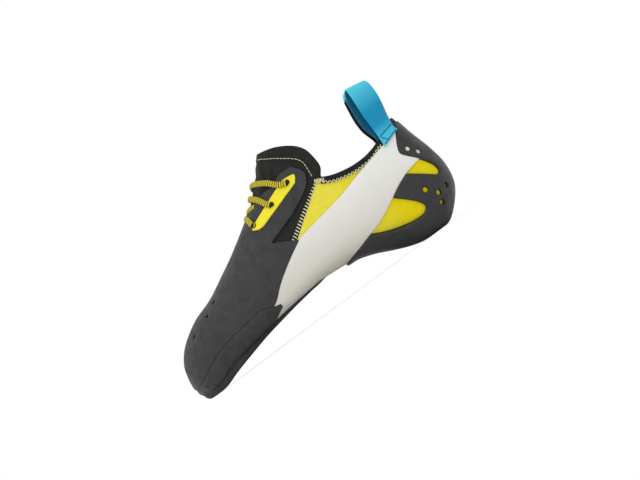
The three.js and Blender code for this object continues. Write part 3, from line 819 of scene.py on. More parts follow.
        # Knit has ribs and courses, and the other weaves have two slanting runs of thread
        knit = self.pattern is Pattern.KNIT
        wave_u = self.wave(tree, u, v, turns, 0 if knit else turns)
        wave_v = self.wave(tree, u, v, 0 if knit else turns, turns * 0.7 if knit else -turns)
        product = node(tree, "ShaderNodeMath", {0: wave_u, 1: wave_v}, operation="MULTIPLY")
        height = self.ramp(tree, product.outputs[0], -1.0, 1.0)
        if self.second:
            # Bands of the second colour stand straight across a two-colour braid
            bands = self.wave(tree, u, v, 2 * math.pi / BRAID_REPEAT, 0)
            colour = self.mixed(tree, self.ramp(tree, bands, 0.25, 0.5), colour, srgb(self.second))
        return self.darken(tree, colour, height, 0.1, 0.6, 0.6), height

    def wave(self, tree: Tree, u: Socket, v: Socket, a: float, b: float) -> Socket:
        """The sine of a u + b v.

        Args:
            tree: The material's node tree.
            u: The first coordinate, in mm.
            v: The second one.
            a: Turns of the first in radians a mm.
            b: Turns of the second.

        Returns:
            The socket of the sine.
        """
        first = node(tree, "ShaderNodeMath", {0: u, 1: a}, operation="MULTIPLY")
        angle = node(tree, "ShaderNodeMath", {0: v, 1: b, 2: first.outputs[0]}, operation="MULTIPLY_ADD")
        return node(tree, "ShaderNodeMath", {0: angle.outputs[0]}, operation="SINE").outputs[0]

    def darken(
        self, tree: Tree, colour: Socket, value: Socket, low: float, high: float, dark: float
    ) -> Socket:
        """The colour, darker where the value is low, as light is lost between fibres.

        Args:
            tree: The material's node tree.
            colour: The colour.
            value: The pattern's height.
            low: The height up to which the colour is darkest.
            high: The height from which it is whole.
            dark: What the colour is multiplied by where it is darkest.

        Returns:
            The socket of the new colour.
        """
        share = self.ramp(tree, value, low, high, dark, 1.0)
        return node(tree, "ShaderNodeVectorMath", {0: colour, "Scale": share}, operation="SCALE").outputs[0]


# Buffed sheet rubber: matt dark grey, with fine streaks from the buffing wheel and a faint pale bloom
PATCH_FINISH = Finish(
    "buffed_sheet_rubber", "toe_patch", "#2e2e2f", "#202021", 0.6, Pattern.GRAIN, 0.45, 0.06, mottle=9.0,
    mottle_share=0.85, streak=5.0, specular=0.4,
)
# Rolled rand rubber: a shade warmer, rounder and a little smoother than the sheet
RAND_FINISH = Finish(
    "rolled_rand_rubber", "toe_rand", "#2a2a28", "#181817", 0.55, Pattern.GRAIN, 0.5, 0.06, mottle=6.0,
    mottle_share=0.85, streak=3.0, specular=0.4,
)
# Moulded rubber: even black with a soft shine on its rounds
HEEL_FINISH = Finish(
    "moulded_heel_rubber", "heel_cup", "#262627", "#1a1a1b", 0.5, Pattern.GRAIN, 0.4, 0.03, mottle_share=0.8,
    specular=0.42,
)
# Vulcanised sole rubber: black and matt, scuffed in small patches
SOLE_FINISH = Finish(
    "vulcanised_sole_rubber", "outsole", "#212120", "#191918", 0.6, Pattern.GRAIN, 0.6, 0.05, specular=0.4,
)
# Pale rubber: smooth and slightly waxy, with painted shade that makes it warmer and darker down towards the
# arch
BAND_FINISH = Finish(
    "pale_slingshot_rubber", "tension_band", "#dcdcd8", "#d4d4cf", 0.55, Pattern.GRAIN, 0.7, 0.03,
    specular=0.3, drifts=((2, 62.0, 14.0, "#bdb8ac"),),
)
# Microsuede: brushed nap with a soft sheen, mottled where the nap lies over, deeper yellow at the heel
SUEDE_FINISH = Finish(
    "brushed_microsuede", "upper", "#e8dc48", "#dccf38", 0.95, Pattern.NAP, 0.35, 0.08, mottle=5.0,
    sheen=0.08, specular=0.15, drifts=((0, -45.0, -12.0, "#d6c40c"),),
)
# Felted lining: matt black fibres that swallow light
LINING_FINISH = Finish(
    "felted_lining", "insole", "#1d1d1d", "#151515", 0.95, Pattern.NAP, 0.5, 0.1, sheen=0.05, specular=0.15,
)
# Stretch sock fabric: fine ribs that catch little light
KNIT_FINISH = Finish(
    "stretch_sock_knit", "cuff", "#272725", "#1d1d1b", 0.9, Pattern.KNIT, 0.8, 0.1, mottle=9.0, sheen=0.06,
    specular=0.2,
)
# Woven binding tape: tight black weave with a dull shine on its fold
BINDING_FINISH = Finish(
    "woven_binding_tape", "collar_binding", "#191918", "#121211", 0.8, Pattern.KNIT, 0.6, 0.1, sheen=0.04,
    specular=0.25,
)
# Coated film: smooth even yellow, glossier than the suede
STRIP_FINISH = Finish(
    "coated_eyelet_film", "eyelet_strip", "#e6da1e", "#dccf18", 0.5, Pattern.GRAIN, 0.5, 0.02, coat=0.05,
    specular=0.3,
)
# Braided flat elastic: yellow with narrow black bands straight across it
LACE_FINISH = Finish(
    "braided_flat_elastic", "lace", "#e6d63a", "#d2c22a", 0.8, Pattern.BRAID, 0.7, 0.1, specular=0.2,
    second="#1f1f18",
)
# Woven webbing: satin blue rows of warp thread, with a painted highlight that lightens the loop towards its
# top, and lighter again towards its base
WEBBING_FINISH = Finish(
    "woven_loop_webbing", "pull_loop", "#0c94bf", "#0583ad", 0.6, Pattern.WEBBING, 0.9, 0.03, specular=0.2,
    drifts=((2, 98.0, 122.0, "#52c8de"), (2, 86.0, 77.0, "#3fb4d2")),
)
# Woven loop tape: black and matt
LOOP_LINING_FINISH = Finish(
    "black_loop_tape", "loop_lining", "#191919", "#121212", 0.85, Pattern.WEBBING, 1.0, 0.05, specular=0.2,
)
# Waxed thread: cream, smooth and round
CREAM_THREAD = Finish(
    "waxed_cream_thread", "upper", "#e4e0b4", "#d3ce9c", 0.6, Pattern.THREAD, 0.5, 0.03, specular=0.3,
)
# The webbing inside the loop: the same weave in a deeper, duller blue, as painted shade on the loop's inner
# face
SHADED_WEBBING_FINISH = Finish(
    "webbing_painted_shade", "pull_loop", "#0d6c8e", "#095877", 0.75, Pattern.WEBBING, 0.9, 0.03, specular=0.2,
)
# Fine polyester thread: dark blue, nearly lost in the webbing
BLUE_THREAD = Finish(
    "dark_blue_thread", "pull_loop", "#0a4f6e", "#083f59", 0.6, Pattern.THREAD, 0.4, 0.03, specular=0.3,
)
# Fine cotton thread: pale and matt, in short stitches
PALE_THREAD = Finish(
    "pale_cotton_thread", "cuff", "#cbc9a8", "#b3b08e", 0.8, Pattern.THREAD, 0.4, 0.03, specular=0.2,
)


@dataclass
class Piece:
    """Makes Blender objects, each riding on the part's one body."""

    finishes: dict[str, bpy.types.Material] = field(default_factory=dict)

    def material(self, finish: Finish) -> bpy.types.Material:
        """The finish's material, made once.

        Args:
            finish: The finish.

        Returns:
            Its material.
        """
        if finish.name not in self.finishes:
            self.finishes[finish.name] = finish.build()
        return self.finishes[finish.name]

    def add(
        self, name: str, points: Array, faces: Array, finish: Finish, replaces: tuple[str, ...] = (),
        uv: Array | None = None, second: tuple[Finish, Array] | None = None,
    ) -> bpy.types.Object:
        """Makes one piece from its vertices in mm and its faces.

        Args:
            name: The object's name.
            points: Vertices in mm.
            faces: Triangles or quads.
            finish: Its finish.
            replaces: CAD nodes that it stands for.
            uv: A UV pair in mm for each vertex, where the finish follows the surface.
            second: Another finish, and the faces that have it.

        Returns:
            The new object.
        """
        mesh = bpy.data.meshes.new(name)
        rows = faces.tolist()
        if faces.shape[1] == 4:
            rows = [row[:3] if row[2] == row[3] else row for row in rows]
        mesh.from_pydata((points * MM).tolist(), [], rows)
        mesh.shade_smooth()
        if uv is not None:
            layer = mesh.uv_layers.new(name="surface")
            loops = np.empty(len(mesh.loops), int)
            mesh.loops.foreach_get("vertex_index", loops)
            layer.data.foreach_set("uv", uv[loops].ravel())
        mesh.materials.append(self.material(finish))
        if second is not None:
            mesh.materials.append(self.material(second[0]))
            mesh.polygons.foreach_set("material_index", second[1].astype(int))
        obj = bpy.data.objects.new(name, mesh)
        bpy.context.scene.collection.objects.link(obj)
        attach(obj, "root")
        if replaces:
            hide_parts(*replaces)
        log.info("%s: %d faces", name, len(faces))
        return obj


@dataclass
class Panel:
    """One layer of the last, cut to a field: the field is the distance outside its outline in mm."""

    last: Last
    pieces: Piece
    name: str
    finish: Finish
    node_name: str
    inner: float
    outer: float
    outline: Field
    edge_radius: float = 0.8
    crown: Field | None = None  # heights that are added to the outer face
    lip: float = 0.35  # the rim's height as a share of the layer's
    foot: float = 0.05  # where the rim's wall and the inner face lie over the last

    def cut(self) -> Mesh:
        """Cuts the last's mesh to the outline, with rows of edges where the rounded rim needs them.

        Returns:
            The cut mesh, with the depth inside its outline, as a negative number, in the field "edge".
        """
        mesh = self.last.mesh()
        mesh.values["edge"] = self.outline(mesh)
        margin = 3.0  # mm round the outline, so that the triangles it crosses are there
        near = (mesh.values["edge"][mesh.faces] < margin).any(1)
        mesh.faces = mesh.faces[near]
        mesh.compact()
        rim_rows = (0.0, 0.12, 0.4, 0.75, 1.1)  # in edge radii
        for share in rim_rows:
            mesh.split("edge", -share * self.edge_radius)
        mesh.keep_inside("edge")
        return mesh

    def lift(self, mesh: Mesh) -> Array:
        """Height over the last: the layer's thickness, rounded off at the rim by a quarter circle.

        Args:
            mesh: The cut mesh.

        Returns:
            A height in mm at each vertex.
        """
        share = self.lip + (1 - self.lip) * quarter_round(-mesh.values["edge"], self.edge_radius)
        height = self.inner + (self.outer - self.inner) * share
        if self.crown is not None:
            height = height + self.crown(mesh)
        return height

    def build(self, inside_finish: Finish | None = None) -> bpy.types.Object:
        """Makes the panel's object: its outer face, an inner face, and a wall round every rim.

        Args:
            inside_finish: The inner face's finish, where it differs.

        Returns:
            The panel's object.
        """
        mesh = self.cut()
        point, normal = mesh.values["point"], mesh.values["normal"]
        outside = point + normal * self.lift(mesh)[:, None]
        inside = point + normal * self.foot
        count = len(outside)
        a, b = mesh.rim().T
        wall = np.concatenate([np.stack([b, a, a + count], 1), np.stack([b, a + count, b + count], 1)])
        faces = np.vstack([mesh.faces, wall, mesh.faces[:, ::-1] + count])
        inward = np.arange(len(faces)) >= len(mesh.faces) + len(wall)
        return self.pieces.add(
            self.name, np.vstack([outside, inside]), faces, self.finish, (self.node_name,),
            np.tile(surface_uv(mesh), (2, 1)), (inside_finish, inward) if inside_finish else None,
        )


def surface_uv(mesh: Mesh) -> Array:
    """A UV pair in mm: X along the shoe, and the girth times its usual length."""
    return np.stack([mesh.values["point"][:, 0], mesh.values["girth"] * GIRTH_LENGTH], 1)


def raised(mesh: Mesh, height: float) -> Array:
    """The mesh's points at a height over the last."""
    return mesh.values["point"] + mesh.values["normal"] * height


def side_view(mesh: Mesh, height: float) -> Array:
    """X and Z of the mesh's points at a height over the last."""
    return raised(mesh, height)[:, [0, 2]]


def inside_circles(centres: list[Array], radius: float, height: float) -> Field:
    """The field of some round holes: how far a point is inside the nearest one.

    Args:
        centres: The holes' centres in mm.
        radius: Their radius.
        height: The height over the last at which they are round.

    Returns:
        The field.
    """

    def distance(mesh: Mesh) -> Array:
        """The radius less the way to the nearest centre."""
        gaps = np.stack([np.linalg.norm(raised(mesh, height) - centre, axis=1) for centre in centres])
        return radius - gaps.min(0)

    return distance


class Outlines:
    """The fields that the panels are cut to."""

    def __init__(self, last: Last) -> None:
        """Traces every outline once.

        Args:
            last: The last that the panels are cut from.
        """
        self.last = last
        self.opening = trace(OPENING)
        self.cuff_end = trace(CUFF_END)
        self.patch = trace(PATCH)
        self.rand = trace(RAND)
        self.band = trace(TENSION_BAND)
        self.heel = trace(HEEL_CUP)
        self.strip = trace(EYELET_STRIP)
        stations = np.arange(SOLE_STATIONS[0], SOLE_STATIONS[1] + 0.01, 0.25)
        row = last.sections(stations)
        x = along_x(row["low_x"])
        z = LAST_LIFT + row["low_z"] / 100 * LAST_HEIGHT
        self.bottom_line = np.stack([x, z], 1)

    def shelf(self, points: Array) -> Array:
        """How far points of the side view lie below the line that the side rubber tucks down to.

        Args:
            points: X and Z in mm.

        Returns:
            A depth in mm, and a negative number where the outsole is about to end.
        """
        line = self.bottom_line
        height = np.interp(points[:, 0], line[:, 0], line[:, 1]) + self.sole_edge(points[:, 0]) - TUCK
        fade = 6  # mm before the outsole's end, from where the rubber runs on under the arch
        beyond = points[:, 0] - line[-1, 0] + fade
        depth = height - points[:, 1]
        return np.where(beyond > 0, np.minimum(depth, -beyond), depth)

    def sole_edge(self, x: Array) -> Array:
        """How far up the side of the last the outsole reaches: less and less towards the arch."""
        return SOLE_EDGE * (1 - 0.9 * smoothstep(x, along_x(12), along_x(30)))

    def overlay(self, outline: Array, thickness: float, seam: float = SEAM) -> Field:
        """The field of an overlay: its outline less the seam to its neighbours, above the outsole.

        Args:
            outline: X and Z of its outline in mm.
            thickness: The overlay's thickness.
            seam: How far it stays inside its outline, or a negative number where it laps over.

        Returns:
            The field.
        """

        def distance(mesh: Mesh) -> Array:
            """The greater of the way out of the outline and the depth below the shelf."""
            points = side_view(mesh, GAP + thickness)
            return np.maximum(outline_distance(points, outline) + seam, self.shelf(points))

        return distance

    def on_side(self, place: tuple[float, float], side: Side, height: float) -> Array:
        """The point over the last at a place of the side view, on one side of the shoe."""
        return self.last.over(place[0], self.last.girth_at(*place, side), height)[0]

    def holes(self, places: tuple[tuple[float, float], ...], radius: float, height: float) -> Field:
        """Round holes at places of the side view, on both sides of the shoe."""
        centres = [self.on_side(place, side, height) for side in Side for place in places]
        return inside_circles(centres, radius, height)

    def ridge_holes(self, height: float) -> Field:
        """The holes along the toe's ridge."""
        centres = [self.last.over(x, 1.0, height)[0] + (0, y, 0) for x, y in TOE_RIDGE_HOLES]
        return inside_circles(centres, HOLE_RADIUS, height)

    def eyelet_holes(self) -> Field:
        """The eyelets' holes, three on the lateral side and two on the medial.

        Returns:
            Their field, round on the toe patch's upper face.
        """
        height = GAP + PATCH_RUBBER
        sides = ((Side.LATERAL, LATERAL_EYELETS), (Side.MEDIAL, MEDIAL_EYELETS))
        centres = [self.on_side(EYELETS[name], side, height) for side, names in sides for name in names]
        return inside_circles(centres, EYELET_RADIUS, height)

    def throat(self, mesh: Mesh) -> Array:
        """How far a point is inside the gap between the eyestays.

        Args:
            mesh: The last's mesh.

        Returns:
            A distance in mm at each vertex, far outside where the surface faces down.
        """
        point = mesh.values["point"]
        table = np.array(THROAT)
        half = np.interp(point[:, 0], along_x(table[:, 0]), table[:, 1] / 100 * BALL_WIDTH, left=-1)
        inside = half - np.abs(point[:, 1])
        front = point[:, 0] - along_x(THROAT[0][0])
        upward = mesh.values["normal"][:, 2] > 0
        slope = 0.85  # mm across the gap's edge for each mm of Y, as the edge runs at an angle
        return np.where(upward, np.minimum(inside * slope, front), -FAR)


@dataclass
class Uppers:
    """The soft shell: the microsuede upper, the sock cuff and the insole."""

    last: Last
    pieces: Piece
    outlines: Outlines
    window_stations: tuple[float, float] = (4, 9)
    station_length: float = 14.0  # mm from one station to the next, about
    hem_rise: float = 0.5
    hem_width: float = 4.6
    fold_rise: float = 0.8
    insole_rim: float = 5.0
    insole_stations: tuple[float, float] = (2.5, 18.0)

    def upper_field(self, mesh: Mesh) -> Array:
        """Outside the upper: the opening, and the window under the forefoot that the outsole closes."""
        points = side_view(mesh, 0)
        return np.maximum(-outline_distance(points, self.outlines.opening), self.window(mesh))

    def window(self, mesh: Mesh) -> Array:
        """How far a point of the bottom is inside the lasting margin, between two stations.

        Args:
            mesh: The last's mesh.

        Returns:
            A distance in mm at each vertex.
        """
        point, station = mesh.values["point"], mesh.values["station"]
        row = self.last.sections(station)
        ridge = row["ridge"] / 100 * BALL_WIDTH
        lateral = ridge - row["lateral"] / 100 * BALL_WIDTH + SOLE_MARGIN
        medial = ridge + row["medial"] / 100 * BALL_WIDTH - SOLE_MARGIN
        across = np.minimum(point[:, 1] - lateral, medial - point[:, 1])
        first, final = self.window_stations
        ends = np.minimum(station - first, final - station) * self.station_length
        under = mesh.values["normal"][:, 2] < -0.5
        return np.where(under, np.minimum(across, ends), -FAR)

    def cuff_field(self, mesh: Mesh) -> Array:
        """Outside the cuff: beyond the opening's front or above the cuff's top edge.

        Args:
            mesh: The last's mesh.

        Returns:
            A distance in mm at each vertex.
        """
        points = side_view(mesh, 0)
        inside = outline_distance(points, self.outlines.opening) + GAP
        return np.maximum(inside, outline_distance(points, self.outlines.cuff_end))

    def cuff_relief(self, mesh: Mesh) -> Array:
        """Heights of the cuff: a turned hem that stands proud, and soft folds where the sock has settled.

        The folds are the product of two sine waves plus a finer third one, calmed at every edge.

        Args:
            mesh: The cuff's mesh.

        Returns:
            A height in mm at each vertex.
        """
        points = side_view(mesh, 0)
        edge = outline_distance(points, trace([CUFF_EDGE]), closed=False)
        hem = self.hem_rise * (1 - smoothstep(edge, self.hem_width, self.hem_width + 1))
        girth, x, z = mesh.values["girth"], points[:, 0], points[:, 1]
        folds = self.fold_rise * np.sin(x * 0.33 + z * 0.21 + 3 * np.abs(girth)) * np.sin(z * 0.12 + 1.3)
        folds += self.fold_rise / 2 * np.sin(x * 0.71 - z * 0.47 + 5 * girth)
        calm = smoothstep(np.abs(mesh.values["edge"]), 0.5, 6.0) * smoothstep(edge, 4.0, 12.0)
        return hem + folds * calm

    def insole_field(self, mesh: Mesh) -> Array:
        """Outside the insole: more than its rim above the last's bottom line, or beyond its ends.

        Args:
            mesh: The last's mesh.

        Returns:
            A distance in mm at each vertex.
        """
        row = self.last.sections(mesh.values["station"])
        low = LAST_LIFT + row["low_z"] / 100 * LAST_HEIGHT
        height = mesh.values["point"][:, 2] - low - self.insole_rim
        station = mesh.values["station"]
        first, final = self.insole_stations
        return np.maximum(height, np.maximum(first - station, station - final) * 10)

    def build(self) -> None:
        """Makes the three pieces."""
        Panel(
            self.last, self.pieces, "microsuede_upper", SUEDE_FINISH, "upper", -WALL, 0.0, self.upper_field,
            edge_radius=0.5, foot=-WALL,
        ).build(LINING_FINISH)
        Panel(
            self.last, self.pieces, "sock_cuff", KNIT_FINISH, "cuff", -WALL, 0.0, self.cuff_field,
            edge_radius=0.9, crown=self.cuff_relief, foot=-WALL,
        ).build()
        under = -WALL - GAP
        Panel(
            self.last, self.pieces, "lining_insole", LINING_FINISH, "insole", under - INSOLE, under,
            self.insole_field, foot=under - INSOLE,
        ).build()


@dataclass
class Rubber:
    """The glued rubber: outsole, toe patch with its eyestays, toe rand, tension band and heel cup.

    Places along the shoe are in percent of its length from the toe.
    """

    last: Last
    pieces: Piece
    outlines: Outlines
    rand_lap: float = 0.15  # how far the rand laps over its outline
    band_lap: float = 3.0  # how far the tension band runs on under the toe rand
    bridge_place: float = 35.5
    bridge_length: float = 15.0
    bridge_rise: float = 2.0
    heel_thick: tuple[float, float] = (60, 82)  # where the heel's underside grows to its full thickness
    heel_thin: tuple[float, float] = (87, 94)  # and where it is thin again, at the back
    heel_lip_place: float = 56.8
    heel_lip_length: float = 9.0
    heel_lip: float = 0.42  # of the full growth, at the heel cup's front edge
    side_inset: float = 0.4  # how much less than the rand's face the outsole's edge stands out
    arch_tuck: float = 0.3  # and how much less again towards the arch
    arch_tuck_run: tuple[float, float] = (20, 34)
    skive: tuple[float, float] = (26, 48)
    arch_thickness: float = 2.0
    end_loss: float = 1.5  # what the outsole loses from the skive to its thin end
    top_round: float = 0.8

    def build(self) -> None:
        """Makes the five pieces."""
        self.build_patch()
        outline = self.outlines.overlay(self.outlines.rand, RAND_RUBBER, -self.rand_lap)
        Panel(
            self.last, self.pieces, "toe_rand_strip", RAND_FINISH, "toe_rand", GAP, GAP + RAND_RUBBER,
            outline, edge_radius=3.0, lip=0.58,
        ).build()
        Panel(
            self.last, self.pieces, "tension_rand", BAND_FINISH, "tension_band", GAP, GAP + BAND,
            self.band_field, edge_radius=0.9, lip=0.5,
        ).build()
        self.build_heel()
        self.build_outsole()

    def build_patch(self) -> None:
        """The toe patch: its outline, less the throat, the eyelets and the perforations."""
        lift = GAP + PATCH_RUBBER
        outline = self.outlines.overlay(self.outlines.patch, PATCH_RUBBER)
        cuts = [
            self.outlines.throat, self.outlines.eyelet_holes(), self.outlines.ridge_holes(lift),
            self.outlines.holes(TOE_HOLES, HOLE_RADIUS, lift),
        ]

        def bridge(mesh: Mesh) -> Array:
            """The sheet bridges the hollow before the throat, as stretched rubber does."""
            near = bell(mesh.values["point"][:, 0], along_x(self.bridge_place), self.bridge_length)
            return self.bridge_rise * near * smoothstep(np.abs(mesh.values["girth"]), 0.72, 0.98)

        Panel(
            self.last, self.pieces, "toe_patch_sheet", PATCH_FINISH, "toe_patch", GAP, lift,
            union_of_cuts(outline, cuts), crown=bridge, lip=0.7,
        ).build()

    def band_field(self, mesh: Mesh) -> Array:
        """Outside the tension band: its outline, less what lies deep under the toe rand.

        Args:
            mesh: The last's mesh.

        Returns:
            A distance in mm at each vertex.
        """
        outline = self.outlines.overlay(self.outlines.band, BAND)(mesh)
        rand = outline_distance(side_view(mesh, GAP + BAND), self.outlines.rand)
        return np.maximum(outline, -rand - self.band_lap)

    def build_heel(self) -> None:
        """The heel cup: thicker where it faces the floor, pressed flat there, with windows and holes."""
        lift = GAP + HEEL_RUBBER

        def outline(mesh: Mesh) -> Array:
            """The way out of the heel cup's outline."""
            return outline_distance(side_view(mesh, lift), self.outlines.heel) + SEAM

        def under(mesh: Mesh) -> Array:
            """The growth of the underside, and the press that sets it on the floor along its normals.

            Args:
                mesh: The heel cup's mesh.

            Returns:
                A height in mm at each vertex.
            """
            point, normal = mesh.values["point"], mesh.values["normal"]
            x = point[:, 0]
            down = smoothstep(-normal[:, 2], 0.2, 0.9)
            lip = self.heel_lip * bell(x, along_x(self.heel_lip_place), self.heel_lip_length)
            down = down * np.maximum(smoothstep(x, *along_x(self.heel_thick)), lip)
            down = down * (1 - smoothstep(x, *along_x(self.heel_thin)))
            grown = (OUTSOLE + HEEL_PRESS - HEEL_RUBBER) * down
            z = point[:, 2] + normal[:, 2] * (lift + grown)
            facing = normal[:, 2] < -0.05
            reach = np.where(facing, (z - floor_contact(z)) / np.minimum(normal[:, 2], -0.25), 0)
            return grown - reach * smoothstep(-normal[:, 2], 0.05, 0.5)

        holes = self.outlines.holes(HEEL_HOLES + TAB_HOLES, HEEL_HOLE_RADIUS, lift)
        Panel(
            self.last, self.pieces, "heel_cup_moulding", HEEL_FINISH, "heel_cup", GAP, lift,
            union_of_cuts(outline, [holes]), edge_radius=1.3, crown=under,
        ).build()

    def build_outsole(self) -> None:
        """The outsole: a slab between two heights over one plan outline, with a rounded ground edge.

        Its plan runs from the lateral to the medial side of the last, grown by the rand's thickness. The
        top follows the last's bottom up to the shelf, and the bottom lies one thickness lower, on the floor
        at the toe.
        """
        # Closer steps round the toe, from just behind its tip
        tip, toe = 0.02, 2
        stations = np.concatenate([np.linspace(tip, toe, 50)[:-1], np.linspace(toe, SOLE_PLAN_END, 220)])
        row = self.last.sections(stations)
        low_x = along_x(row["low_x"])
        low_z = LAST_LIFT + row["low_z"] / 100 * LAST_HEIGHT
        height = (row["top_z"] - row["low_z"]) / 100 * LAST_HEIGHT
        edge = self.outlines.sole_edge(low_x)
        share = np.clip(edge / np.maximum(height * row["widest"] / 100, 1e-6), 0, 1)
        reach = (1 - (1 - share) ** row["low_power"]) ** (1 / row["low_power"])
        ridge = row["ridge"] / 100 * BALL_WIDTH
        sides = [
            np.stack([low_x, ridge + side * row[name] / 100 * BALL_WIDTH * reach], 1)
            for side, name in ((-1, "lateral"), (1, "medial"))
        ]
        tuck = self.arch_tuck * smoothstep(low_x, *along_x(self.arch_tuck_run))[:, None]
        margin = GAP + RAND_RUBBER - self.side_inset - tuck
        grown = [line + margin * outward(line, side) for line, side in zip(sides, (-1, 1), strict=True)]
        count = 100
        # Closer steps near both edges, where the section turns
        across = (1 - np.cos(np.linspace(0, np.pi, count))) / 2
        plan = grown[0][:, None] * (1 - across[:, None]) + grown[1][:, None] * across[:, None]
        width = np.linalg.norm(grown[1] - grown[0], axis=1)[:, None]
        from_edge = np.minimum(across, 1 - across)[None] * width
        from_edge = np.minimum(from_edge, np.maximum(plan[..., 0] - plan[0, 0, 0], 0))
        bottom = np.stack([self.last.bottom_height(stations, plan[:, j, 1]) for j in range(count)], 1)
        low = np.interp(plan[..., 0], low_x, low_z)
        top = np.minimum(bottom + GAP, low + self.outlines.sole_edge(plan[..., 0]))
        skive = smoothstep(plan[..., 0], *along_x(self.skive))
        end = smoothstep(plan[..., 0], along_x(self.skive[1]), low_x[-1])
        thick = OUTSOLE + (self.arch_thickness - OUTSOLE) * skive - self.end_loss * end
        ground = floor_contact(low - GAP - thick)
        # The buffed edge: a quarter round that is larger where the rubber is thicker
        radius = np.clip(0.55 * thick, 0.4, 2.0)
        rounding = radius * (1 - quarter_round(from_edge, radius))
        top = top - self.top_round * (1 - quarter_round(from_edge, self.top_round))
        thinnest = 0.15
        ground = np.minimum(ground + rounding, top - thinnest)
        points = np.vstack([np.dstack([plan, height]).reshape(-1, 3) for height in (top, ground)])
        faces = sheet_faces(*top.shape)
        self.pieces.add("outsole_slab", points, faces, SOLE_FINISH, ("outsole",), points[:, :2])


def bell(x: Array, middle: float, width: float) -> Array:
    """The bell curve e^-((x - middle) / width)^2, 1 at its middle."""
    return np.exp(-(((x - middle) / width) ** 2))


def floor_contact(z: Array) -> Array:
    """Heights eased on to the floor: the mean of z and its softened size, less a sag, and never below 0.

    Args:
        z: Heights over the floor in mm, or below it as negative numbers.

    Returns:
        The heights of the pressed face.
    """
    softness, sag = 2.0, 0.3  # mm^2 and mm
    return np.maximum((z + np.sqrt(z**2 + softness)) / 2 - sag, 0)


def outward(line: Array, side: int) -> Array:
    """Unit normals of a plan line, pointing to the given side."""
    run = normalise(np.gradient(line, axis=0))
    return side * np.stack([-run[:, 1], run[:, 0]], 1)


def sheet_faces(rows: int, columns: int) -> Array:
    """Quads of a closed sheet: a face, the opposite face that lies after it, and a wall round both.

    Args:
        rows: Rows of the vertex grid that each face has.
        columns: Its columns.

    Returns:
        The quads, first those of the first face, then those of the opposite one.
    """
    index = np.arange(rows * columns).reshape(rows, columns)
    quads = np.stack([index[:-1, :-1], index[1:, :-1], index[1:, 1:], index[:-1, 1:]], -1).reshape(-1, 4)
    loop = np.concatenate([index[0, :-1], index[:-1, -1], index[-1, :0:-1], index[:0:-1, 0]])
    after = np.roll(loop, -1)
    wall = np.stack([loop, after, after + index.size, loop + index.size], 1)
    return np.vstack([quads, quads[:, ::-1] + index.size, wall])


def union_of_cuts(outline: Field, cuts: list[Field]) -> Field:
    """The field of an outline with cuts taken out.

    Args:
        outline: The outline's field.
        cuts: The fields of the cuts.

    Returns:
        The field of what is left.
    """

    def distance(mesh: Mesh) -> Array:
        """The greatest of them all."""
        return np.maximum.reduce([outline(mesh), *(cut(mesh) for cut in cuts)])

    return distance


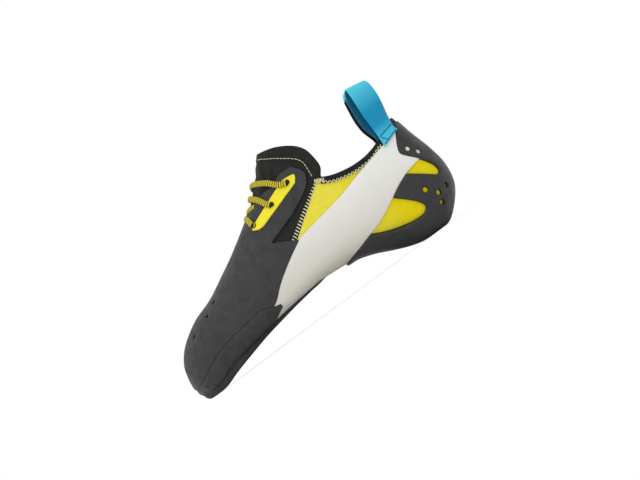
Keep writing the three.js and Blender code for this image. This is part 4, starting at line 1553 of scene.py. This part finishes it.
@dataclass
class Lacing:
    """The eyelet strips and the elastic lace."""

    last: Last
    pieces: Piece
    outlines: Outlines
    sunk: float = 0.2  # how far a strip's rim reaches into the rubber under it
    pinch: float = 0.55  # the lace's width in its eyelet, as a share of its full width

    def build(self) -> None:
        """Makes both strips and both runs of the lace."""
        for side in Side:
            self.build_strip(side)
        for name, strands in LACES.items():
            self.build_lace(name, strands)

    def build_strip(self, side: Side) -> None:
        """Makes the eyelet strip of one side.

        Args:
            side: The side of the shoe.
        """
        inner = GAP + PATCH_RUBBER + GAP

        def outline(mesh: Mesh) -> Array:
            """The way out of the strip's outline, on its own side alone."""
            distance = outline_distance(side_view(mesh, inner + STRIP), self.outlines.strip)
            return np.where(mesh.values["girth"] * side.value < 0, FAR, distance)

        whole = union_of_cuts(outline, [self.outlines.eyelet_holes()])
        Panel(
            self.last, self.pieces, f"eyelet_film_{side.label}", STRIP_FINISH, f"eyelet_strip_{side.label}",
            GAP + PATCH_RUBBER - self.sunk, inner + STRIP, whole, edge_radius=0.5,
        ).build()

    def build_lace(self, name: str, strands: tuple[tuple[str, float, str], ...]) -> None:
        """Makes a run of lace: flat strands that dive into their eyelets, with a lengthwise UV for the braid.

        Args:
            name: The run's CAD node.
            strands: For each strand its lateral eyelet, its X in percent on the ridge and its medial eyelet.
        """
        tubes = []
        for strand in strands:
            path, normal = self.strand_path(*strand)
            # The elastic is pinched where it dives through an eyelet
            length = arc_length(path)
            full = smoothstep(np.minimum(length, length[-1] - length), 0.8, 3.2)
            width = LACE_RADIUS * (self.pinch + (1 - self.pinch) * full)
            tubes.append(tube(path, width, 20, LACE_HEIGHT / LACE_RADIUS, normal))
        points, faces, uv = join_parts(tubes)
        self.pieces.add(f"elastic_{name}", points, faces, LACE_FINISH, (name,), uv)

    def strand_path(self, lateral: str, ridge_x: float, medial: str) -> tuple[Array, Array]:
        """The middle line of a strand, from inside one eyelet over the tongue into the other.

        Args:
            lateral: The eyelet on the lateral side.
            ridge_x: X in percent where it crosses the ridge.
            medial: The eyelet on the medial side.

        Returns:
            Points of the line, and the last's normal at each.
        """
        on_strip = GAP + PATCH_RUBBER + GAP + STRIP + LACE_HEIGHT
        on_tongue = 2 * GAP + LACE_HEIGHT
        low = on_tongue - 0.5
        from_under = ((0.0, -1.4), (0.1, 0.2), (0.25, low), (0.5, low), (0.75, low))
        halves: dict[Side, list[Array]] = {}
        for name, side in ((lateral, Side.LATERAL), (medial, Side.MEDIAL)):
            x, z = EYELETS[name]
            girth = self.last.girth_at(x, z, side)
            run = np.linalg.norm(self.last.over(x, girth, 0)[0] - self.last.over(ridge_x, 1.0, 0)[0])
            # Share of the way from the eyelet to the ridge, and the height over the last there
            from_eyelet = (
                (0.0, -1.6), (0.4 / run, on_strip - 2.2), (1.2 / run, on_strip - 0.5), (2.4 / run, on_strip),
                (max(0.3, 4.5 / run), on_strip - 0.2), (0.6, on_tongue + 0.7),
            )
            stops = from_under if name == "exit" else from_eyelet
            for share, rise in stops:
                round_share = share**1.6  # the strand leaves its eyelet along the shoe and then turns across
                here = girth + (side.value - girth) * round_share
                place = self.last.over(x + (ridge_x - x) * share, here, rise)
                halves.setdefault(side, []).append(np.concatenate(place))
        # The strand that comes from under the eyestay passes below the other ones
        crossing = -0.4 if lateral == "exit" else 0.4
        ridge = np.concatenate(self.last.over(ridge_x, 1.0, on_tongue + crossing))
        line = catmull(np.array([*halves[Side.LATERAL], ridge, *halves[Side.MEDIAL][::-1]]), 10)
        return line[:, :3], normalise(line[:, 3:])


def tube(
    path: Array, radius: float | Array, around: int, flat: float = 1.0, normal: Array | None = None
) -> tuple[Array, Array, Array]:
    """A closed oval tube along a path, with UV in mm along and around it.

    Args:
        path: Points of the middle line.
        radius: Half the tube's width, everywhere or at each point.
        around: Points round each ring.
        flat: The tube's height as a share of its width.
        normal: The way its flat side faces at each point, or None for a round tube of any turn.

    Returns:
        Vertices, quads with its two caps, and UV pairs.
    """
    tangent = normalise(np.gradient(path, axis=0))
    if normal is None:
        lift = np.array([0, 0, 1.0]) if abs(tangent[:, 2]).mean() < 0.8 else np.array([0, 1.0, 0])
        normal = np.broadcast_to(lift, path.shape)
    side = normalise(np.cross(tangent, normal))
    up = np.cross(side, tangent)
    angle = np.linspace(0, 2 * np.pi, around, endpoint=False)
    ring = np.cos(angle)[None, :, None] * side[:, None] + flat * np.sin(angle)[None, :, None] * up[:, None]
    rows = len(path)
    radius = np.broadcast_to(radius, rows)
    points = (path[:, None] + radius[:, None, None] * ring).reshape(-1, 3)
    index = np.arange(rows * around).reshape(rows, around)
    nxt = np.roll(index, -1, 1)
    faces = np.stack([index[:-1], index[1:], nxt[1:], nxt[:-1]], -1).reshape(-1, 4)
    length = arc_length(path)
    uv = np.stack([np.repeat(length, around), np.tile(angle * radius.max(), rows)], 1)
    caps = []
    for row, turn in ((0, 1), (rows - 1, -1)):
        middle = len(points)
        points = np.vstack([points, path[row]])
        uv = np.vstack([uv, [length[row], 0]])
        ring_index = index[row][::turn]
        after = np.roll(ring_index, -1)
        caps.append(np.stack([ring_index, after, np.full(around, middle), np.full(around, middle)], 1))
    return points, np.vstack([faces, *caps]), uv


def join_parts(parts: list[tuple[Array, Array, Array]]) -> tuple[Array, Array, Array]:
    """Joins several meshes.

    Args:
        parts: The vertices, faces and UV pairs of each.

    Returns:
        The vertices, faces and UV pairs of all.
    """
    offsets = np.cumsum([0] + [len(part[0]) for part in parts[:-1]])
    points = np.vstack([part[0] for part in parts])
    faces = np.vstack([part[1] + offset for part, offset in zip(parts, offsets, strict=True)])
    return points, faces, np.vstack([part[2] for part in parts])


@dataclass
class PullLoops:
    """The webbing loops beside the heel, each with a dark lining tape on its inner leg."""

    last: Last
    pieces: Piece
    front_spread: float = 1.9  # how far the tape's front edge leaves the seat's width on its way up
    rear_spread: float = 2.2
    swing: float = 2.3  # how far the inner leg hangs forward
    selvedge: float = 0.8  # the rounding's width along each edge of the tape
    stitch_lines: tuple[Run, ...] = (
        [(0.06, 1.3), (0.97, -0.5)],
        [(0.08, 0.6), (0.36, -5.0)],
        [(0.97, -1.2), (0.97, -5.4)],
        [(0.1, -5.4), (0.9, -5.4)],
    )

    def build(self) -> None:
        """Makes both loops, their linings and their stitches."""
        for side in Side:
            # The inside of the webbing loop gets a darker copy of the webbing: painted shade
            self.build_tape(
                side, "webbing_loop", LOOP_LINE, WEBBING, WEBBING_FINISH, "pull_loop", SHADED_WEBBING_FINISH
            )
            self.build_tape(
                side, "lining_tape", LOOP_LINING_LINE, LOOP_LINING, LOOP_LINING_FINISH, "loop_lining"
            )
            self.build_stitches(side)

    def build_tape(
        self, side: Side, name: str, line: Run, thickness: float, finish: Finish, node_name: str,
        shaded_inside: Finish | None = None,
    ) -> None:
        """One tape: its flat profile carried along the collar's edge, with rounded selvedges.

        Args:
            side: The side of the shoe.
            name: The object's name without its side.
            line: The tape's middle line across the collar.
            thickness: The tape's thickness.
            finish: Its finish.
            node_name: The CAD node's name without its side.
            shaded_inside: The finish of the face inside the loop, where it differs: a darker copy of the
                webbing, as painted shade.
        """
        middle = catmull(np.array(line, float), 8)
        run = normalise(np.gradient(middle, axis=0))
        steps = 27
        share = (1 - np.cos(np.linspace(0, np.pi, steps))) / 2
        width = (LOOP_EDGES[1][0] - LOOP_EDGES[0][0]) / 100 * LENGTH
        from_edge = np.minimum(share, 1 - share) * width
        half = thickness / 2 * (0.45 + 0.55 * quarter_round(from_edge, self.selvedge))
        grids = []
        for face in (1, -1):
            out = middle[:, None, 0] - face * half[None] * run[:, None, 1]
            up = middle[:, None, 1] + face * half[None] * run[:, None, 0]
            grids.append(self.carry(side, share, out, up).reshape(-1, 3))
        faces = sheet_faces(len(middle), steps)
        if side is Side.MEDIAL:
            faces = faces[:, ::-1]
        uv = np.stack(np.meshgrid(arc_length(middle), share * width, indexing="ij"), -1).reshape(-1, 2)
        # Faces inside the loop, which get the painted shade
        inner = np.arange(len(faces)) < (len(middle) - 1) * (steps - 1)
        self.pieces.add(
            f"{name}_{side.label}", np.vstack(grids), faces, finish, (f"{node_name}_{side.label}",),
            np.tile(uv, (2, 1)), second=(shaded_inside, inner) if shaded_inside else None,
        )

    def carry(self, side: Side, share: Array, out: Array, up: Array) -> Array:
        """Places a profile on the collar: outwards along each level normal, and up with the loop's lean.

        Args:
            side: The side of the shoe.
            share: Places across the tape, from 0 at its front edge to 1 at its rear edge.
            out: Distance outwards from the middle of the collar's wall, with a column for each share.
            up: Height over the collar's edge, likewise.

        Returns:
            Points in mm, shaped as out with a last axis of 3.
        """
        collar = np.array(COLLAR)
        x = LOOP_EDGES[0][0] + (LOOP_EDGES[1][0] - LOOP_EDGES[0][0]) * share
        z = np.interp(x, collar[:, 0], collar[:, 1])
        girths = [self.last.girth_at(a, b, side) for a, b in zip(x, z, strict=True)]
        seats = [self.last.over(a, girth, -WALL / 2) for a, girth in zip(x, girths, strict=True)]
        point, normal = (np.array(part) for part in zip(*seats, strict=True))
        top = over_floor(LOOP_EDGES[0][1] + (LOOP_EDGES[1][1] - LOOP_EDGES[0][1]) * share)
        level = normalise(normal * (1, 1, 0))
        slope = normal[:, 2] / np.hypot(normal[:, 0], normal[:, 1])
        rise = np.where(up > 0, up * (top - point[:, 2]) / LOOP_HEIGHT, up)
        moved = point + level * (out - np.minimum(0, rise) * slope)[..., None]
        spread = smoothstep(rise, 0, 24) * (share * self.rear_spread - (1 - share) * self.front_spread)
        # The inner leg swings forward between its foot and the loop's top
        swing = self.swing * smoothstep(-out, 0, 5) * smoothstep(rise, 0, 14)
        moved[..., 0] += LOOP_LEAN * rise / LOOP_HEIGHT + spread - swing
        moved[..., 2] += rise
        return moved

    def build_stitches(self, side: Side) -> None:
        """Makes the stitches that hold the tape's foot: short threads along a few lines.

        Args:
            side: The side of the shoe.
        """
        face = LOOP_LINE[0][0] + WEBBING / 2 + 0.1
        parts = []
        for line in self.stitch_lines:
            ends = np.array(line)
            steps = 24
            share = np.linspace(ends[0, 0], ends[1, 0], steps)
            up = np.linspace(ends[0, 1], ends[1, 1], steps)
            path = self.carry(side, share, np.full(steps, face), up)
            normal = self.carry(side, share, np.full(steps, face + 1), up) - path
            parts.append(run_of_stitches(path, normal, Stitch.RUNNING, 1.9, 1.5, 0.3))
        points, faces, uv = join_parts(parts)
        self.pieces.add(f"loop_stitches_{side.label}", points, faces, BLUE_THREAD, (), uv)


class Stitch(Enum):
    """How threads lie along a line of stitches."""

    RUNNING = "running"
    BARS = "bars"
    ZIGZAG = "zigzag"


def run_of_stitches(
    path: Array, normal: Array, kind: Stitch, pitch: float, size: float, thread: float, dip: float = 0.0
) -> tuple[Array, Array, Array]:
    """Threads along a path, all carried from one or two short tubes.

    Args:
        path: Points of the stitched line.
        normal: Outward directions there.
        kind: Running stitches lie along the line, bars across it, and a zigzag turns at each stitch.
        pitch: Distance from one stitch to the next.
        size: A running stitch's length, or how far a bar reaches to both sides together.
        thread: The thread's radius.
        dip: How much lower the far end of a bar lies.

    Returns:
        Vertices, faces and UV pairs.
    """
    length = arc_length(path)
    centre = np.arange(pitch / 2, length[-1], pitch)
    middle = along_line(centre, length, path)
    near = 0.4  # mm to both sides of a stitch, for its direction
    along = normalise(along_line(centre + near, length, path) - along_line(centre - near, length, path))
    out = normalise(along_line(centre, length, normal))
    across = np.cross(out, along)
    t = np.linspace(-1, 1, 7)
    rise = thread * (1.2 * np.sqrt(1 - t**2) - 0.9)
    templates = []
    for sign in (1, -1):
        if kind is Stitch.RUNNING:
            line = np.stack([t * size / 2, 0 * t, rise], 1)
        else:
            slant = pitch if kind is Stitch.ZIGZAG else 0.25 * pitch
            turn = sign if kind is Stitch.ZIGZAG else 1
            line = np.stack([turn * t * slant / 2, t * size / 2, rise - dip * (t + 1) / 2], 1)
        templates.append(tube(line, thread, 8))
    _, faces, uv = templates[0]
    shapes = np.stack([templates[0][0], templates[1][0]])[np.arange(len(centre)) % 2]
    points = (
        middle[:, None] + shapes[..., :1] * along[:, None] + shapes[..., 1:2] * across[:, None]
        + shapes[..., 2:] * out[:, None]
    )
    offsets = np.arange(len(centre)) * shapes.shape[1]
    all_faces = (faces[None] + offsets[:, None, None]).reshape(-1, 4)
    return points.reshape(-1, 3), all_faces, np.tile(uv, (len(centre), 1))


@dataclass
class Stitching:
    """The seams that show on the upper and the cuff, on both sides of the shoe."""

    last: Last
    pieces: Piece
    hem: Run = field(default_factory=lambda: [
        (55.5, 96.8), (57.2, 94.9), (58.9, 92.6), (61.3, 89.0), (63.3, 85.9), (64.8, 82.9), (65.6, 79.7),
        (65.6, 75.4), (65.4, 71.8), (65.3, 69.4),
    ])
    seam: Run = field(default_factory=lambda: [(65.8, 65.9), (60.5, 59.5), (55.0, 52.9), (49.7, 46.0)])
    collar: Run = field(default_factory=lambda: [
        (66.2, 64.8), (68.7, 61.0), (71.7, 58.8), (74.7, 57.5), (77.6, 56.9), (80.6, 57.0), (83.6, 58.1),
        (86.9, 60.4),
    ])
    tack: Run = field(default_factory=lambda: [(64.9, 66.6), (67.5, 64.2)])

    def path(self, places: Run, side: Side, lift: float) -> tuple[Array, Array]:
        """A smooth line over the last.

        Args:
            places: Places of the side view that it runs through.
            side: The side of the shoe.
            lift: Its height over the last.

        Returns:
            The line's points, and the last's normals along it.
        """
        spots = np.array([(x, self.last.girth_at(x, z, side)) for x, z in places])
        spots = catmull(spots, 10) if len(places) > 2 else np.linspace(spots[0], spots[1], 12)
        both = np.array([np.concatenate(self.last.over(x, girth, lift)) for x, girth in spots])
        return both[:, :3], both[:, 3:]

    def build(self) -> None:
        """Makes every line of stitches."""
        for side in Side:
            # Bars across the quarter seam, and a zigzag under the binding that dips towards the suede
            seam = run_of_stitches(*self.path(self.seam, side, 0.15), Stitch.BARS, 2.35, 2.7, 0.46)
            flip = 1.0 if side is Side.LATERAL else -1.0
            collar_path, collar_normal = self.path(self.collar, side, 1.2)
            collar = run_of_stitches(collar_path, collar_normal, Stitch.ZIGZAG, 1.45, 2.2 * flip, 0.31, 0.35)
            tack = run_of_stitches(*self.path(self.tack, side, 1.0), Stitch.BARS, 1.05, 2.6, 0.38)
            points, faces, uv = join_parts([seam, collar, tack])
            self.pieces.add(f"seam_stitches_{side.label}", points, faces, CREAM_THREAD, (), uv)
            hem = run_of_stitches(*self.path(self.hem, side, 0.55), Stitch.RUNNING, 2.75, 1.9, 0.32)
            self.pieces.add(f"hem_stitches_{side.label}", hem[0], hem[1], PALE_THREAD, (), hem[2])


@dataclass
class HoleFloors:
    """What shows at the bottom of the perforations: pale rubber in the heel tab, dark cloth at the toe."""

    last: Last
    pieces: Piece
    margin: float = 0.6
    thickness: float = 0.3

    def build(self) -> None:
        """Makes the small discs."""
        tab = [(x, self.last.girth_at(x, z, side)) for x, z in TAB_HOLES for side in Side]
        self.discs("tab_hole_floors", tab, GAP + 0.7, BAND_FINISH)
        toe = [(x, self.last.girth_at(x, z, side)) for x, z in TOE_HOLES for side in Side]
        toe += [(x, 1.0) for x, _ in TOE_RIDGE_HOLES]
        self.discs("toe_hole_floors", toe, GAP + 0.1, LINING_FINISH)

    def discs(self, name: str, places: list[tuple[float, float]], lift: float, finish: Finish) -> None:
        """Makes flat discs over the last, a little wider than their holes.

        Args:
            name: The object's name.
            places: X in percent and the girth of each.
            lift: Their height over the last.
            finish: Their finish.
        """
        around = 16
        angle = np.linspace(0, 2 * np.pi, around, endpoint=False)
        radius = HEEL_HOLE_RADIUS + self.margin
        parts = []
        for x, girth in places:
            centre, normal = self.last.over(x, girth, lift)
            along = normalise(np.cross((0, 1, 0), normal))
            across = np.cross(normal, along)
            ring = centre + radius * (np.cos(angle)[:, None] * along + np.sin(angle)[:, None] * across)
            points = np.vstack([ring, centre, centre - self.thickness * normal])
            index = np.arange(around)
            after = np.roll(index, -1)
            upper = np.stack([index, after, np.full(around, around)], 1)
            faces = np.vstack([upper, np.stack([after, index, np.full(around, around + 1)], 1)])
            parts.append((points, faces, points[:, :2]))
        points, faces, uv = join_parts(parts)
        self.pieces.add(name, points, faces, finish, (), uv)


@dataclass
class Collar:
    """The binding tape folded over the collar's edge."""

    last: Last
    pieces: Piece
    fold_rise: float = 0.7  # the fold's top over the edge
    step: float = 0.8  # from one section of the tape to the next

    def edge_line(self) -> tuple[Array, Array]:
        """Finds the collar's edge on the last, from the lateral cuff round the heel to the medial cuff.

        On each half of the last, every section is read from the sole up to where it first crosses the line.

        Returns:
            The edge's points at even steps, and the last's normals there.
        """
        line = trace([[COLLAR_START], COLLAR])
        grid = np.concatenate([self.last.points, self.last.normals], 2)
        middle = grid.shape[1] // 2
        halves = []
        for half in (grid[:, middle::-1], grid[:, middle:]):
            x = half[..., 0]
            above = half[..., 2] - np.interp(x, line[:, 0], line[:, 1])
            crossing = (above[:, :-1] <= 0) & (above[:, 1:] > 0)
            crossing &= ((x > line[0, 0]) & (x < line[-1, 0]))[:, :-1]
            rows = np.flatnonzero(crossing.any(1))
            columns = crossing[rows].argmax(1)
            low, high = above[rows, columns], above[rows, columns + 1]
            share = (-low / (high - low))[:, None]
            halves.append(half[rows, columns] * (1 - share) + half[rows, columns + 1] * share)
        both = np.vstack([halves[0], halves[1][::-1]])
        both[:, 3:] = normalise(both[:, 3:])
        length = arc_length(both[:, :3])
        wanted = np.linspace(0, length[-1], int(length[-1] / self.step))
        even = along_line(wanted, length, both)
        return even[:, :3], normalise(even[:, 3:])

    def build(self) -> None:
        """Carries a U-shaped section along the edge: down the outer face, over the edge, down the inner."""
        line, normal = self.edge_line()
        run = normalise(np.gradient(line, axis=0))
        up = normalise(np.cross(run, normal))
        up = np.where(up[:, 2:] < 0, -up, up)
        outer, inner = GAP + BINDING, -WALL - GAP - BINDING
        top, bend = self.fold_rise, self.fold_rise * 0.75
        # Outwards and up from the collar's edge: outer leg, fold, inner leg, and back along the wall
        leg, flat, long = -BINDING_WIDTH, 0.05, -BINDING_OUTER
        profile = np.array([
            (flat, long), (outer - 0.15, long), (outer, long + 0.4), (outer + 0.05, -1.2), (outer, -0.1),
            (outer * 0.55, bend), (-WALL * 0.3, top), (-WALL * 0.7, top), (inner + outer * 0.45, bend),
            (inner, -0.1), (inner - 0.05, -1.2), (inner, leg + 0.4), (inner + 0.15, leg), (-WALL - flat, leg),
            (-WALL - flat, leg + 0.4), (-WALL - flat, -1.2), (-WALL, -0.4), (-WALL + 0.1, -0.2),
            (-WALL * 0.7, -0.1), (-WALL * 0.3, -0.1), (-0.1, -0.2), (0, -0.4), (flat, -1.2),
            (flat, long + 0.4),
        ])
        points = line[:, None] + normal[:, None] * profile[None, :, :1] + up[:, None] * profile[None, :, 1:]
        rows, columns = points.shape[:2]
        index = np.arange(rows * columns).reshape(rows, columns)
        nxt = np.roll(index, -1, 1)
        ring = np.stack([index[:-1], nxt[:-1], nxt[1:], index[1:]], -1).reshape(-1, 4)
        # Each end is closed by pairing the profile's outer points with the inner ones
        pairs = np.arange(columns // 2 - 1)
        cap = np.stack([pairs, columns - 1 - pairs, columns - 2 - pairs, pairs + 1], 1)
        faces = np.vstack([ring, cap, cap[:, ::-1] + (rows - 1) * columns])[:, ::-1]
        uv = np.stack(np.meshgrid(arc_length(line), arc_length(profile), indexing="ij"), -1).reshape(-1, 2)
        self.pieces.add("collar_tape", points.reshape(-1, 3), faces, BINDING_FINISH, ("collar_binding",), uv)


@dataclass
class Studio:
    """The pale floor, soft lights and the camera at the photograph's angle."""

    azimuth: float = 1.5  # degrees towards the toe from the outer side
    elevation: float = -1.0
    roll: float = 36.6  # the resting line's slope in the photograph
    distance: float = 3.2  # metres
    sensor: float = 36.0
    picture: tuple[int, int] = (640, 480)
    toe_pixel: tuple[int, int] = (216, 396)  # where the shoe's toe stands on the floor in the photograph
    length_pixels: float = 337.0  # the shoe's length there
    toe_inset: float = 13.3  # pixels from the toe's tip back to that place
    floor_half: float = 8.0
    lowest: float = 0.006  # the camera stays just over the floor

    def build(self) -> None:
        """Makes the world, the floor, the lights and the camera."""
        world = bpy.data.worlds.new("white_studio")
        bpy.context.scene.world = world
        world.use_nodes = True
        tree = world.node_tree
        background = tree.nodes["Background"]
        background.inputs["Color"].default_value = (1, 1, 1, 1)
        background.inputs["Strength"].default_value = 0.86
        # The shoe is lit by a duller white than the camera sees behind it
        seen = node(tree, "ShaderNodeBackground", {"Color": (1, 1, 1, 1), "Strength": 1.0})
        rays = node(tree, "ShaderNodeLightPath")
        layers = {0: rays.outputs["Is Camera Ray"], 1: background.outputs[0], 2: seen.outputs[0]}
        mix = node(tree, "ShaderNodeMixShader", layers)
        tree.links.new(mix.outputs[0], tree.nodes["World Output"].inputs[0])
        self.build_floor()
        self.build_lights()
        self.build_camera()
        bpy.context.scene.view_settings.view_transform = "Standard"

    def build_floor(self) -> None:
        """A wide pale floor under the shoe."""
        mesh = bpy.data.meshes.new("studio_floor")
        half = self.floor_half
        corners = [(-half, -half, 0), (half, -half, 0), (half, half, 0), (-half, half, 0)]
        mesh.from_pydata(corners, [], [(0, 1, 2, 3)])
        floor = bpy.data.objects.new("studio_floor", mesh)
        bpy.context.scene.collection.objects.link(floor)
        material = bpy.data.materials.new("white_floor_paint")
        material.use_nodes = True
        shader = material.node_tree.nodes["Principled BSDF"]
        shader.inputs["Base Color"].default_value = (0.96, 0.96, 0.96, 1)
        shader.inputs["Roughness"].default_value = 0.9
        mesh.materials.append(material)

    def build_lights(self) -> None:
        """Two wide, far lights: one high over the toe's outer side, and a weaker one from the heel."""
        lamps = (
            ("key", (-0.5, -0.75, 1.0), 75.0, 0.8),
            ("fill", (0.8, -0.5, 0.45), 90.0, 0.25),
        )
        for name, place, spread, strength in lamps:
            light = bpy.data.lights.new(name, "SUN")
            light.angle = math.radians(spread)
            light.energy = strength
            lamp = bpy.data.objects.new(name, light)
            lamp.rotation_euler = Vector(place).to_track_quat("Z", "Y").to_euler()
            bpy.context.scene.collection.objects.link(lamp)

    def build_camera(self) -> None:
        """A long lens at the photograph's angle, rolled so that the toe points down to the left."""
        data = bpy.data.cameras.new("camera")
        camera = bpy.data.objects.new("camera", data)
        bpy.context.scene.collection.objects.link(camera)
        bpy.context.scene.camera = camera
        data.sensor_width = self.sensor
        width, height = self.picture
        pixel = LENGTH / self.length_pixels * MM  # metres a pixel at the shoe
        data.lens = self.sensor * self.distance / (pixel * width)
        data.clip_end = 30
        # The photograph's middle, turned into the standing frame and measured from the toe
        roll = math.radians(self.roll)
        right, up = width / 2 - self.toe_pixel[0], self.toe_pixel[1] - height / 2
        from_toe = right * math.cos(roll) + up * math.sin(roll) + self.toe_inset
        over = up * math.cos(roll) - right * math.sin(roll)
        x = float(along_x(from_toe / self.length_pixels * 100)) * MM
        target = Vector((x, 0, over * pixel))
        azimuth, elevation = math.radians(self.azimuth), math.radians(self.elevation)
        level = math.cos(elevation)
        back = Vector((-math.sin(azimuth) * level, -math.cos(azimuth) * level, math.sin(elevation)))
        camera.location = target + back * self.distance
        camera.location.z = max(camera.location.z, self.lowest)
        look = (target - camera.location).to_track_quat("-Z", "Y")
        camera.matrix_world = (
            Matrix.Translation(camera.location) @ look.to_matrix().to_4x4() @ Matrix.Rotation(-roll, 4, "Z")
        )


def main() -> None:
    """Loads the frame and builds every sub-assembly in order."""
    logging.basicConfig(level=logging.INFO, format="%(name)s: %(message)s")
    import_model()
    last = Last()
    pieces = Piece()
    outlines = Outlines(last)
    Uppers(last, pieces, outlines).build()
    Rubber(last, pieces, outlines).build()
    Lacing(last, pieces, outlines).build()
    Collar(last, pieces).build()
    PullLoops(last, pieces).build()
    Stitching(last, pieces).build()
    HoleFloors(last, pieces).build()
    Studio().build()


if __name__ == "__main__":
    main()
